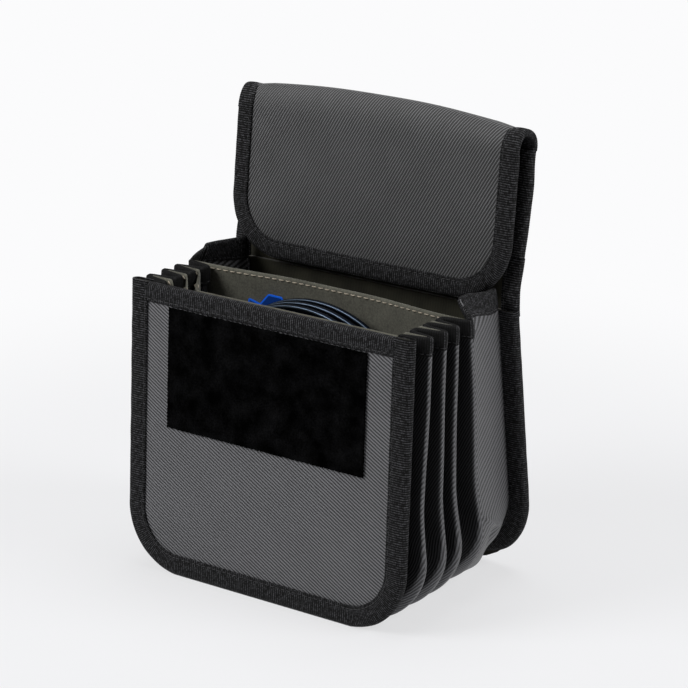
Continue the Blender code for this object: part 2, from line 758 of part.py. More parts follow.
def filters():
    """Round filters standing on the gusset's floor ridge, against the fourth divider."""
    lip = FILTER_BORE - FILTER_LIP
    for count in range(FILTER_COUNT):
        back = count * (FILTER_THICKNESS + FILTER_SPACING) + FILTER_THICKNESS / 2
        frame = frame_at(f"filter_{count + 1}_frame", filter_rear(FILTER_HEIGHT) - back,
                         FILTER_HEIGHT, pi / 2 + FILTER_LEAN)
        frame.location.x = FILTER_CENTRE
        turned(f"filter_{count + 1}_ring", ring_profile(FILTER_BORE, lip), "filter_ring",
               frame)
        seat = FILTER_LIP_THICKNESS - FILTER_THICKNESS / 2 + CLEARANCE
        pane = disc(f"filter_{count + 1}_glass", FILTER_BORE - CLEARANCE, GLASS_THICKNESS,
                    "filter_glass", frame)
        pane.location = (0, 0, seat + GLASS_THICKNESS / 2)


def pull_tab():
    """Tape tab that stands behind the rearmost filter, its upper corners round."""
    frame = frame_at("tab_frame", filter_rear(TAB_TOP) + TAB_GAP, TAB_TOP, FILTER_LEAN)
    half = TAB_WIDTH / 2
    outline = [(x + TAB_CENTRE, -z)
               for x, z in rounded_foot(half, 0, TAB_HEIGHT, TAB_CORNER)]
    plate("pull_tab", outline, TAB_THICKNESS, frame, 0, "blue_tab")


def main():
    front_panel()
    back_panel()
    gusset()
    rim_binding(-1, "rim_binding_left")
    rim_binding(1, "rim_binding_right")
    for index in range(len(FOLD_DEPTHS_RIM)):
        divider(index)
    flap_neck()
    hang(rise())
    flap_fold()
    filters()
    pull_tab()


main()
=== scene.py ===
"""Looks of the lens filter case: bound panels, a pleated gusset, cloth leaves and a folding flap.

Metres, +Z up, the front panel towards -Y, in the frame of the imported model. Depths are
measured backwards from the front panel's foot, and heights from the floor.
"""
from math import cos, pi, radians, sin

import bpy
import numpy as np
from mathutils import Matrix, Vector


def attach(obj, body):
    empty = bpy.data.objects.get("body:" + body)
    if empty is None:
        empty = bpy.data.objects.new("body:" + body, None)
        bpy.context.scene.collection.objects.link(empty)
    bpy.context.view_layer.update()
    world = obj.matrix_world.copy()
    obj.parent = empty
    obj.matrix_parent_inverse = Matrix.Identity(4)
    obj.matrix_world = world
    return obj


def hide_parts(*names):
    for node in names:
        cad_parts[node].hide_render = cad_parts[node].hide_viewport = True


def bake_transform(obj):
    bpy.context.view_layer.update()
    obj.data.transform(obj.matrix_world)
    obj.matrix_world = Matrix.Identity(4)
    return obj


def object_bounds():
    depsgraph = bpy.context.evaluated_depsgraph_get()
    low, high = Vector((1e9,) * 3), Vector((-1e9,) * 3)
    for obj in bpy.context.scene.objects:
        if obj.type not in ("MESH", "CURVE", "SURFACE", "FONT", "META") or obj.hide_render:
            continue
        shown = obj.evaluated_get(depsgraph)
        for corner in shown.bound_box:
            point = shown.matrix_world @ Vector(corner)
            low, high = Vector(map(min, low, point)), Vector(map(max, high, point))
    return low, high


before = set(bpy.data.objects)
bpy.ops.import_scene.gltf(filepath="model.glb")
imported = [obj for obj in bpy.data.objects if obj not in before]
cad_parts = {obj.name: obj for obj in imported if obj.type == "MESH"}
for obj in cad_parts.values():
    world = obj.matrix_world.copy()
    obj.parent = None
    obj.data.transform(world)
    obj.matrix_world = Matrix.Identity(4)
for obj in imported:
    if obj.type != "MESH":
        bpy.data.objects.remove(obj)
cad_low, cad_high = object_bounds()
MM = 0.001

# Camera
# A long lens a little over a metre away, above the case and to its right. Its place comes
# from the case's own corners in the photograph.
AZIMUTH = radians(36.6)
ELEVATION = radians(18.09)
AIM = Vector((42.2 * MM, cad_low.y, 116.2 * MM))
DISTANCE = 1.15
LENS = 158.4
SENSOR = 36.0
away = Vector((sin(AZIMUTH) * cos(ELEVATION), -cos(AZIMUTH) * cos(ELEVATION), sin(ELEVATION)))
camera_data = bpy.data.cameras.new("camera")
camera_data.lens = LENS
camera_data.sensor_width = SENSOR
camera = bpy.data.objects.new("camera", camera_data)
bpy.context.scene.collection.objects.link(camera)
camera.location = AIM + away * DISTANCE
camera.rotation_euler = away.to_track_quat("Z", "Y").to_euler()
bpy.context.scene.camera = camera
bpy.context.scene.view_settings.view_transform = "Standard"

# Floor, backdrop and lamps
# A white paper sweep. The lamps are large and soft, and the floor fades to plain white
# away from the case, where only the camera, mirrors and glass see it.
FLOOR_REACH = 3.0
FLOOR_NEAR, FLOOR_FAR = 0.16, 0.42
GLOW_NEAR = 0.66
SKY_STRENGTH = 0.14
LAMP_AIM = Vector((0, 0, 90 * MM))
LAMPS = {
    "key_lamp": ((-0.80, -1.05, 1.15), 0.9, 20.0),
    "top_lamp": ((-0.10, 0.30, 1.60), 1.2, 13.0),
    "side_lamp": ((1.25, 0.32, 0.85), 0.8, 13.0),
}


def linear(hex_colour):
    """Linear colour of an sRGB hex value: each channel's display curve undone."""
    channels = [int(hex_colour[place:place + 2], 16) / 255 for place in (1, 3, 5)]
    return (*[c / 12.92 if c <= 0.04045 else ((c + 0.055) / 1.055) ** 2.4 for c in channels], 1)


def add_node(tree, kind, values=None, links=None, **settings):
    """One shader node: its settings, the values of its inputs and what feeds them."""
    made = tree.nodes.new(kind)
    for key, value in settings.items():
        setattr(made, key, value)
    for key, value in (values or {}).items():
        made.inputs[key].default_value = value
    for key, source in (links or {}).items():
        tree.links.new(source, made.inputs[key])
    return made


def new_finish(name, levels=None):
    """A new material with its node tree and its Principled shader, whose sockets get levels."""
    made = bpy.data.materials.new(name)
    made.use_nodes = True
    shader = made.node_tree.nodes["Principled BSDF"]
    for key, value in (levels or {}).items():
        shader.inputs[key].default_value = value
    return made, made.node_tree, shader


def with_painted_shade(tree, colour, painted_shade_level):
    """Painted shade: a colour times least where the mesh's attribute "hollow" is 1, and as it is where it is
    0.
    """
    painted_shade = add_node(tree, "ShaderNodeAttribute", attribute_name="painted_shade")
    level = add_node(tree, "ShaderNodeMapRange", {"To Min": 1.0, "To Max": painted_shade_level},
                     {"Value": painted_shade.outputs["Fac"]})
    return add_node(tree, "ShaderNodeVectorMath", links={0: colour.outputs[0], "Scale": level.outputs[0]},
                    operation="SCALE")


def dress(tree, shader, shade, dark, light, relief=None, strength=0.0, depth=0.0, painted_shade_level=None):
    """Give a finish its colour and its relief.

    dark and light are each a level of shade and the colour there. relief is what stands
    proud, with the bump's strength and depth. least is the share of the colour left under
    full painted shade, in a fold's recess.
    """
    colour = add_node(tree, "ShaderNodeValToRGB", links={"Fac": shade})
    for end, (level, hex_colour) in zip(colour.color_ramp.elements, (dark, light)):
        end.position = level
        end.color = linear(hex_colour)
    if painted_shade_level is not None:
        colour = with_painted_shade(tree, colour, painted_shade_level)
    tree.links.new(colour.outputs[0], shader.inputs["Base Color"])
    if relief is not None:
        bump = add_node(tree, "ShaderNodeBump", {"Strength": strength, "Distance": depth}, {"Height": relief})
        tree.links.new(bump.outputs[0], shader.inputs["Normal"])


def quads(index):
    """Faces between the neighbours on a grid of point numbers, towards columns cross rows."""
    corners = [index[:-1, :-1], index[:-1, 1:], index[1:, 1:], index[1:, :-1]]
    return np.stack(corners, -1).reshape(-1, 4).tolist()


def add_piece(name, points, faces, finish=None, smooth=True):
    """A mesh of points and faces as a new piece, with its finish."""
    mesh = bpy.data.meshes.new(name)
    mesh.from_pydata(points, [], faces)
    if smooth:
        mesh.shade_smooth()
    if finish:
        mesh.materials.append(finish)
    piece = bpy.data.objects.new(name, mesh)
    bpy.context.scene.collection.objects.link(piece)
    return piece


def surface(name, grid, cloth=None, finish=None, closed=False, painted_shade=None):
    """A grid of points as a mesh: rows by columns, its faces towards columns cross rows.

    cloth gives each point's place on the flat cloth, in metres, as the map "cloth". closed
    joins the last column to the first and caps the first and last row. hollow is each
    point's painted shade, from 0 on an open face to 1 deep in a fold, kept as the attribute "hollow".
    """
    rows, columns = grid.shape[:2]
    index = np.arange(rows * columns).reshape(rows, columns)
    if closed:
        index = np.concatenate([index, index[:, :1]], 1)
    faces = quads(index)
    if closed:
        faces += [index[0, -2::-1].tolist(), index[-1, :-1].tolist()]
    piece = add_piece(name, grid.reshape(-1, 3), faces, finish)
    mesh = piece.data
    if cloth is not None:
        used = np.zeros(len(mesh.loops), int)
        mesh.loops.foreach_get("vertex_index", used)
        flat = np.asarray(cloth, float).reshape(-1, 2)[used]
        mesh.uv_layers.new(name="cloth").data.foreach_set("uv", flat.ravel())
    # Painted shade, kept as a point attribute that the finishes read.
    if painted_shade is not None:
        painted_shades = np.broadcast_to(painted_shade, (rows, columns)).ravel()
        mesh.attributes.new("painted_shade", "FLOAT", "POINT").data.foreach_set("value", painted_shades)
    return piece


reach = np.linspace(-FLOOR_REACH, FLOOR_REACH, 3)
flat_x, flat_y = np.meshgrid(reach, reach)
paper, tree, shader = new_finish("white_paper", {"Base Color": linear("#c9cacd"), "Roughness": 0.9})
place = add_node(tree, "ShaderNodeTexCoord").outputs["Object"]
far = add_node(tree, "ShaderNodeVectorMath", links={0: place}, operation="LENGTH")
fade = add_node(tree, "ShaderNodeMapRange", {"From Min": FLOOR_NEAR, "From Max": FLOOR_FAR,
                                                "To Min": GLOW_NEAR},
                {"Value": far.outputs["Value"]}, interpolation_type="SMOOTHSTEP")
ray = add_node(tree, "ShaderNodeLightPath").outputs
seen = add_node(tree, "ShaderNodeMath", links={0: ray["Is Camera Ray"], 1: ray["Is Glossy Ray"]},
                operation="MAXIMUM")
seen = add_node(tree, "ShaderNodeMath", links={0: seen.outputs[0], 1: ray["Is Transmission Ray"]},
                operation="MAXIMUM")
share = add_node(tree, "ShaderNodeMath", links={0: seen.outputs[0], 1: fade.outputs[0]},
                 operation="MULTIPLY")
glow = add_node(tree, "ShaderNodeEmission", {"Color": linear("#fbfbfc"), "Strength": 1.0})
mixed_light = add_node(tree, "ShaderNodeMixShader", links={0: share.outputs[0]})
tree.links.new(shader.outputs[0], mixed_light.inputs[1])
tree.links.new(glow.outputs[0], mixed_light.inputs[2])
tree.links.new(mixed_light.outputs[0], tree.nodes["Material Output"].inputs["Surface"])
floor = surface("floor", np.stack([flat_x, flat_y, 0 * flat_x], -1), finish=paper)

for name, (spot, size, power) in LAMPS.items():
    lamp = bpy.data.lights.new(name, "AREA")
    lamp.shape = "DISK"
    lamp.size = size
    lamp.energy = power
    holder = bpy.data.objects.new(name, lamp)
    bpy.context.scene.collection.objects.link(holder)
    holder.location = spot
    holder.rotation_euler = (Vector(spot) - LAMP_AIM).to_track_quat("Z", "Y").to_euler()
world = bpy.data.worlds.new("studio")
world.use_nodes = True
sky = world.node_tree.nodes["Background"]
sky.inputs["Color"].default_value = linear("#ffffff")
sky.inputs["Strength"].default_value = SKY_STRENGTH
bpy.context.scene.world = world

# Front panel
# Charcoal polyester twill over a stiff sheet, with a lining behind. The cloth lies a little
# below its binding tape and lifts towards the middle, and waves slightly where it was sewn.
HALF_DEPTH = -cad_low.y
FRONT_LEAN = radians(3.0)
FRONT_HALF = 68.7 * MM
FRONT_HEIGHT = 121.0 * MM
FRONT_CORNER = 26.0 * MM
PANEL_THICKNESS = 4.3 * MM
CLOTH = 0.6 * MM
CLOTH_SHORT = 1.0 * MM
CLOTH_SUNK = 0.85 * MM
CLOTH_SWELL = 0.35 * MM
CLOTH_WAVE = 0.16 * MM
WAVE_LENGTH = 60.0 * MM
TAPE_WIDTH = 7.9 * MM
TAPE = 0.45 * MM
TWILL_PITCH = 1.24 * MM
GRID = 1.5 * MM


def leaning(depth, height, tilt):
    """Places points given across, inward and up: turned about X by tilt, then moved."""
    def place(across, inward, up):
        across, inward, up = np.broadcast_arrays(across, inward, up)
        return np.stack([across, depth - HALF_DEPTH + inward * cos(tilt) - up * sin(tilt),
                         height + inward * sin(tilt) + up * cos(tilt)], -1)
    return place


def eased(value, start, end):
    """0 before start, 1 after end and a smooth step in between."""
    share = np.clip((value - start) / (end - start), 0, 1)
    return share * share * (3 - 2 * share)


def ripple(a, b, seed, size):
    """Soft unevenness from -1 to 1: the mean of six sine waves of random direction."""
    draw = np.random.default_rng(seed)
    total = 0
    for turn, phase, scale in zip(draw.uniform(0, pi, 6), draw.uniform(0, 2 * pi, 6),
                                  draw.uniform(0.7, 1.6, 6)):
        total = total + np.sin((a * np.cos(turn) + b * np.sin(turn)) * 2 * pi * scale / size + phase)
    return total / 6


def round_foot_width(up, half, corner):
    """Half width of a panel at a height: full above its round corners, a circle below."""
    drop = np.clip(corner - up, 0, corner)
    return half - corner + np.sqrt(np.clip(corner ** 2 - drop ** 2, 0, None))


def twill(name, crest, groove, slope, pitch=TWILL_PITCH, from_to=(0.24, 0.60)):
    """Polyester twill: slanting ridges of warp with darker grooves, crossed by fine weft.

    Woven from dull filament, so it has a broad soft highlight and a little sheen. The
    ridges' pitch is drawn about twice the real one, so that they show. from_to is how high
    on a ridge its colour goes from groove to crest. Painted shade makes the colour, specular
    and sheen fall off in a fold's recess, as the mesh's attribute "hollow" says.
    """
    finish, tree, shader = new_finish(name, {"Roughness": 0.62, "IOR": 1.5, "Sheen Roughness": 0.5})
    cloth = add_node(tree, "ShaderNodeUVMap", uv_map="cloth").outputs["UV"]
    turned = add_node(tree, "ShaderNodeMapping",
                      {"Rotation": (0, 0, -slope - pi / 2), "Scale": (1 / pitch, 1 / pitch, 1)},
                      {"Vector": cloth})
    ridges = add_node(tree, "ShaderNodeTexWave",
                      {"Scale": 2 * pi / 20, "Distortion": 0.9, "Detail": 2.0, "Detail Scale": 1.6},
                      {"Vector": turned.outputs[0]}, bands_direction="X")
    weft = add_node(tree, "ShaderNodeTexWave",
                    {"Scale": 2 * pi / 20 / 0.62, "Distortion": 1.4, "Detail": 1.0},
                    {"Vector": turned.outputs[0]}, bands_direction="Y")
    knots = add_node(tree, "ShaderNodeMath", {1: 0.35}, {0: weft.outputs["Fac"]},
                     operation="MULTIPLY_ADD")
    knots.inputs[2].default_value = 0.65
    relief = add_node(tree, "ShaderNodeMath", links={0: ridges.outputs["Fac"], 1: knots.outputs[0]},
                      operation="MULTIPLY")
    patchy = add_node(tree, "ShaderNodeTexNoise", {"Scale": 55.0, "Detail": 3.0}, {"Vector": cloth})
    level = add_node(tree, "ShaderNodeMapRange", {"To Min": -0.10, "To Max": 0.10},
                     {"Value": patchy.outputs["Fac"]})
    mixed = add_node(tree, "ShaderNodeMath", links={0: relief.outputs[0], 1: level.outputs[0]})
    # Painted shade: in a fold's recess the colour falls to 0.18 of itself.
    dress(tree, shader, mixed.outputs[0], (from_to[0], groove), (from_to[1], crest), relief.outputs[0],
          0.55, 0.16 * MM, painted_shade_level=0.18)
    # Painted shade dims the specular and sheen too, to a twelfth in a fold's recess.
    painted_shade = add_node(tree, "ShaderNodeAttribute", attribute_name="painted_shade")
    for socket, open_level in (("Specular IOR Level", 0.5), ("Sheen Weight", 0.15)):
        painted_gloss_shade = add_node(tree, "ShaderNodeMapRange", {"To Min": open_level, "To Max": open_level / 12},
                         {"Value": painted_shade.outputs["Fac"]})
        tree.links.new(painted_gloss_shade.outputs[0], shader.inputs[socket])
    return finish


def close_ends(values):
    """Values with one more close to each end, which keeps a cut edge's shading off the face."""
    first = values[0] + 0.01 * (values[1] - values[0])
    last = values[-1] - 0.01 * (values[-1] - values[-2])
    return np.concatenate([[values[0], first], values[1:-1], [last, values[-1]]])


def thicken(piece, thickness):
    """Give a piece's faces a wall behind them."""
    wall = piece.modifiers.new("thickness", "SOLIDIFY")
    wall.thickness = thickness
    wall.offset = -1
    return wall


def panel_cloth(name, place, half, height, corner, side, finish, seed):
    """A panel's cloth: a slab whose face is a function of across and up, within its outline.

    side is -1 where the visible face points towards less depth, and 1 the other way. The
    face lies 0.85 mm under the tape's at its edge and rises to 0.5 mm away from the tape.
    """
    ups = np.concatenate([corner * (1 - np.cos(np.linspace(0.12, pi / 2, 14)))[:-1],
                          np.arange(corner, height - CLOTH_SHORT, GRID), [height - CLOTH_SHORT]])
    shares = np.linspace(-1, 1, int(2 * half / GRID))
    widths = round_foot_width(ups, half, corner) - CLOTH_SHORT
    across = widths[:, None] * shares[None, :]
    up = np.broadcast_to(ups[:, None], across.shape)
    to_edge = np.minimum(widths[:, None] - np.abs(across), np.minimum(up, height - up))
    sunk = CLOTH_SUNK - CLOTH_SWELL * eased(to_edge, 5 * MM, 14 * MM)
    sunk = sunk - CLOTH_WAVE * ripple(across, up, seed, WAVE_LENGTH) * eased(to_edge, 6 * MM, 20 * MM)
    grid = place(across, -side * sunk, up)
    if side > 0:
        grid = grid[:, ::-1]
        across = across[:, ::-1]
    piece = surface(name, grid, np.stack([across, up], -1), finish)
    thicken(piece, CLOTH)
    return piece


front_place = leaning(0, 0, -FRONT_LEAN)
front_twill = twill("charcoal_twill", "#717174", "#171719", -radians(29.5))
front_cloth = panel_cloth("front_cloth", front_place, FRONT_HALF, FRONT_HEIGHT, FRONT_CORNER, -1,
                          front_twill, 3)
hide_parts("front_shell")
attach(front_cloth, "front")

# Binding tape and stitching of the front panel
# Black polyester grosgrain, 25 mm wide, folded over the panel's edge and sewn through
# with one row of black thread. The tape down the sides covers the ends of the top one.
RIB_PITCH = 0.95 * MM
RIB_HEIGHT = 0.08 * MM
SEAM_FROM_TAPE_EDGE = 1.3 * MM
STITCH_PITCH = 2.7 * MM
STITCH_LENGTH = 2.0 * MM
THREAD = 0.17 * MM
ROD_SHARES = np.array([-1.0, -0.72, 0.0, 0.72, 1.0])
ROD_GIRTH_SHARES = np.array([0.4, 0.9, 1.0, 0.9, 0.4])
ROD_SIDES = 6
TAPE_WAVE = 0.10 * MM
EDGE_WANDER = 0.12 * MM
PUCKER = 0.16 * MM
PUCKER_PITCH = 2.6 * MM
SEAM_SUNK = 0.10 * MM

grosgrain, tree, shader = new_finish("black_grosgrain", {"Roughness": 0.8, "Specular IOR Level": 0.2})
cloth = add_node(tree, "ShaderNodeUVMap", uv_map="cloth").outputs["UV"]
ribs = add_node(tree, "ShaderNodeTexWave",
                {"Scale": 2 * pi / 20 / RIB_PITCH, "Distortion": 1.1, "Detail": 2.0, "Phase Offset": pi},
                {"Vector": cloth}, bands_direction="X")
yarn = add_node(tree, "ShaderNodeTexWave",
                {"Scale": 2 * pi / 20 / (0.62 * MM), "Distortion": 2.4, "Detail": 2.0},
                {"Vector": cloth}, bands_direction="Y")
weave = add_node(tree, "ShaderNodeMath", {1: 0.45}, {0: yarn.outputs["Fac"]}, operation="MULTIPLY")
weave = add_node(tree, "ShaderNodeMath", links={0: ribs.outputs["Fac"], 1: weave.outputs[0]})
fuzz = add_node(tree, "ShaderNodeTexNoise", {"Scale": 620.0, "Detail": 3.0, "Roughness": 0.75},
                {"Vector": cloth})
fuzz = add_node(tree, "ShaderNodeMapRange", {"From Min": 0.3, "From Max": 0.7},
                {"Value": fuzz.outputs["Fac"]})
weave = add_node(tree, "ShaderNodeMath", links={0: weave.outputs[0], 1: fuzz.outputs[0]})
weave = add_node(tree, "ShaderNodeMath", {1: 0.45}, {0: weave.outputs[0]}, operation="MULTIPLY")
# Painted shade: where the rim tapes dip into the pleats' recesses, the colour falls to 0.12 of itself.
dress(tree, shader, weave.outputs[0], (0.64, "#010101"), (0.88, "#505053"), weave.outputs[0],
      0.8, 0.16 * MM, painted_shade_level=0.12)


def thread_finish(name, dark, light, roughness):
    """Spun polyester thread: smooth, and mottled by its plies."""
    finish, tree, shader = new_finish(name, {"Roughness": roughness})
    place = add_node(tree, "ShaderNodeTexCoord").outputs["Object"]
    ply = add_node(tree, "ShaderNodeTexNoise", {"Scale": 2200.0, "Detail": 2.0}, {"Vector": place})
    dress(tree, shader, ply.outputs["Fac"], (0.0, dark), (1.0, light))
    return finish


black_thread = thread_finish("black_polyester_thread", "#0d0d0e", "#333336", 0.45)


def round_edge(half, height, corner, run):
    """Edge of a panel, from its top left corner down, round the foot and up to its top right.

    Straight stretches and two quarter circles, at a length run from the start. Gives the
    places across and up, and the turn: the way along is (sin turn, -cos turn).
    """
    quarter, flat = corner * pi / 2, 2 * (half - corner)
    first = np.clip((run - (height - corner)) / corner, 0, pi / 2)
    second = np.clip((run - (height - corner) - quarter - flat) / corner, 0, pi / 2)
    along_foot = np.clip(run - (height - corner) - quarter, 0, flat)
    down = np.clip(run, 0, height - corner)
    rise = np.clip(run - (height - corner) - 2 * quarter - flat, 0, height - corner)
    across = -half + corner * (1 - np.cos(first)) + along_foot + corner * np.sin(second)
    up = height - down - corner * np.sin(first) + corner * (1 - np.cos(second)) + rise
    return across, up, first + second


def edge_length(half, height, corner):
    """Length of round_edge's whole path."""
    return 2 * (height - corner) + pi * corner + 2 * (half - corner)


def runs(length):
    """Lengths along a path, from 0 to its end, about a quarter of a rib apart."""
    return np.linspace(0, length, int(length / (RIB_PITCH / 4)) + 1)


def unit(vectors):
    """Vectors of length 1 in the same directions."""
    return vectors / np.linalg.norm(vectors, axis=-1, keepdims=True)


def panel_edge(place, across, up, turn):
    """A panel's edge in the case: points, and the ways into the panel and out of its face."""
    points = place(across, 0, up)
    inward = place(across + np.cos(turn), 0, up + np.sin(turn)) - points
    return points, inward, place(across, -1, up) - points


def stitches(name, points, along, out, body, finish=black_thread, length=STITCH_LENGTH, thread=THREAD):
    """Short rods of thread, one at each point: five rings of six points, arched along it."""
    share = ROD_SHARES[:, None]
    girth = ROD_GIRTH_SHARES[:, None] * thread
    angle = np.arange(ROD_SIDES)[None, :] * 2 * pi / ROD_SIDES
    lengthwise = (share * length / 2 + 0 * angle).ravel()
    sideways = (girth * np.cos(angle)).ravel()
    height = (girth * np.sin(angle) + thread * (0.9 - 1.5 * share ** 2)).ravel()
    along, out = unit(along), unit(out)
    side = np.cross(along, out)
    spots = (points[:, None] + lengthwise[None, :, None] * along[:, None]
             + sideways[None, :, None] * side[:, None] + height[None, :, None] * out[:, None])
    count = len(ROD_SHARES) * ROD_SIDES
    ring = np.arange(count).reshape(-1, ROD_SIDES)
    ring = np.concatenate([ring, ring[:, :1]], 1)
    sides = np.stack([ring[:-1, :-1], ring[1:, :-1], ring[1:, 1:], ring[:-1, 1:]], -1).reshape(-1, 4)
    caps = np.array([ring[0, :-1], ring[-1, -2::-1]])
    first = count * np.arange(len(points))[:, None, None]
    faces = (sides[None] + first).reshape(-1, 4).tolist()
    faces += (caps[None] + first).reshape(-1, ROD_SIDES).tolist()
    piece = add_piece(name, spots.reshape(-1, 3), faces, finish)
    if body:
        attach(piece, body)
    return piece


def tape_section(width, thickness):
    """Tape's section as places into the panel and behind its face, and the share that ribs move.

    Outside first: in from the visible leg's edge, round the nose, and out along the hidden
    leg. Each leg swells 0.2 mm and dips at its seam. The inside follows one tape below it.
    """
    nose = thickness / 2
    leg = np.array([width, width - 0.35 * MM, width - 0.9 * MM, width - SEAM_FROM_TAPE_EDGE,
                    width - 1.8 * MM, width - 2.6 * MM, (width - 2.6 * MM + nose) / 2, nose])
    sunk = np.array([0.30, 0.0, 0.02, 0.14, 0.0, -0.18, -0.22, -0.10]) * MM
    turn = np.linspace(0, pi, 9)[1:-1]
    outer_in = np.concatenate([leg, nose - nose * np.sin(turn), leg[::-1]])
    outer_behind = np.concatenate([sunk, nose - (nose + 0.1 * MM * np.cos(turn) ** 2) * np.cos(turn),
                                   thickness - sunk[::-1]])
    inner = nose - TAPE
    back = np.linspace(0, pi, 5)
    inner_in = np.concatenate([[width - 0.1 * MM], nose - inner * np.sin(back[::-1]), [width - 0.1 * MM]])
    inner_behind = np.concatenate([[thickness - TAPE], nose - inner * np.cos(back[::-1]), [TAPE]])
    ribbed = np.concatenate([np.ones(len(outer_in)), np.zeros(len(inner_in))])
    ribbed[[0, len(outer_in) - 1]] = 0.3
    return (np.concatenate([outer_in, inner_in]), np.concatenate([outer_behind, inner_behind]),
            ribbed, len(outer_in))


def tape(name, points, inward, out, body, node, thickness, width=TAPE_WIDTH, bend=None, seed=1,
         painted_shade=None):
    """Ribbed tape folded over an edge: its section carried along points, with a rib each pitch.

    bend is 1 where the edge turns in its own plane; there the legs' free edges pucker. Gives
    the tape and its two rows of stitches.
    """
    run = np.concatenate([[0], np.cumsum(np.linalg.norm(np.diff(points, axis=0), axis=1))])
    into, behind, ribbed, outside = tape_section(width, thickness)
    slope_in, slope_behind = np.gradient(into), np.gradient(behind)
    size = np.hypot(slope_in, slope_behind) + 1e-9
    normal_in, normal_behind = slope_behind / size, -slope_in / size
    if normal_behind[outside // 4] > 0:
        normal_in, normal_behind = -normal_in, -normal_behind
    rib = RIB_HEIGHT * (0.5 - 0.5 * np.cos(2 * pi * run / RIB_PITCH))[:, None] * ribbed[None, :]
    rib = rib + TAPE_WAVE * ripple(run[:, None], into[None, :] + behind[None, :], seed, 14 * MM) * ribbed
    free = eased(into, width - 3.0 * MM, width)[None, :]
    front_leg = np.where(behind < thickness / 2, -1.0, 1.0)[None, :]
    turning = np.zeros(len(run)) if bend is None else bend
    swell = 1 + np.sin(2 * pi * run / PUCKER_PITCH)[:, None]
    pucker = PUCKER * turning[:, None] * free * front_leg * swell
    wander = EDGE_WANDER * ripple(run, 0 * run, seed + 20, 18 * MM)[:, None] * free
    deep_in = into[None, :] + rib * normal_in[None, :] + wander
    deep_behind = behind[None, :] + rib * normal_behind[None, :] + pucker * 0.6
    grid = (points[:, None] + deep_in[..., None] * inward[:, None]
            - deep_behind[..., None] * out[:, None])
    girth = np.concatenate([[0], np.cumsum(np.hypot(np.diff(into), np.diff(behind)))])
    flat = np.stack(np.broadcast_arrays(run[:, None], girth[None, :]), -1)
    # Painted shade for each row, where it is given.
    painted_shades = None if painted_shade is None else painted_shade[:, None]
    piece = surface(name, grid, flat, grosgrain, closed=True, painted_shade=painted_shades)
    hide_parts(node)
    if body:
        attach(piece, body)
    first = np.searchsorted(run, np.arange(1.4 * MM, run[-1] - 1.0 * MM, STITCH_PITCH))
    seam = width - SEAM_FROM_TAPE_EDGE
    along = np.gradient(points, axis=0)[first]
    spots = points[first] + seam * inward[first]
    made = [piece]
    for side, sunk, way in (("front", SEAM_SUNK, 1), ("back", thickness - SEAM_SUNK, -1)):
        row = stitches(f"{name}_stitches_{side}", spots - sunk * out[first], along, way * out[first], body)
        made.append(row)
    return made


def corner_bend(turn):
    """1 in the middle of a round corner and 0 on its straight neighbours."""
    return np.sin(2 * turn) ** 2


FRONT_PROUD = 0.7 * MM
tape_half, tape_corner = FRONT_HALF + FRONT_PROUD, FRONT_CORNER + FRONT_PROUD
across, up, turn = round_edge(tape_half, FRONT_HEIGHT, tape_corner,
                              runs(edge_length(tape_half, FRONT_HEIGHT, tape_corner)))
tape("front_edge_tape", *panel_edge(front_place, across, up, turn), "front", "front_edge_binding",
     PANEL_THICKNESS, width=TAPE_WIDTH + 1.0 * MM, bend=corner_bend(turn), seed=5)
top_half = FRONT_HALF - TAPE_WIDTH + 0.6 * MM
run = runs(2 * top_half)
tape("front_top_tape", *panel_edge(front_place, top_half - run, FRONT_HEIGHT - 0.25 * MM + 0 * run,
                                   -pi / 2 + 0 * run),
     "front", "front_top_binding", PANEL_THICKNESS - 0.5 * MM, seed=6)

# Fuzzy closing patch
# The loop half of 50 mm hook and loop tape: near-black nylon pile on a woven ground, sewn
# on below the top tape. The pile swallows light, and its edge is a little ragged.
PATCH_HALF = 49.0 * MM
PATCH_HEIGHT = 50.0 * MM
PATCH_TOP = FRONT_HEIGHT - TAPE_WIDTH - 0.6 * MM
PILE_PITCH = 0.42 * MM
PILE_LIFT = 0.75 * MM
PILE_ROUGH = 0.34 * MM

pile, tree, shader = new_finish("black_loop_pile", {"Roughness": 1.0, "Specular IOR Level": 0.02})
place = add_node(tree, "ShaderNodeTexCoord").outputs["Object"]
tufts = add_node(tree, "ShaderNodeTexNoise", {"Scale": 1500.0, "Detail": 4.0, "Roughness": 0.75},
                 {"Vector": place})
lay = add_node(tree, "ShaderNodeTexNoise", {"Scale": 120.0, "Detail": 2.0}, {"Vector": place})
shade = add_node(tree, "ShaderNodeMath", links={0: tufts.outputs["Fac"], 1: lay.outputs["Fac"]},
                 operation="MULTIPLY")
dress(tree, shader, shade.outputs[0], (0.18, "#000000"), (0.5, "#151516"), tufts.outputs["Fac"],
      0.8, 0.25 * MM)


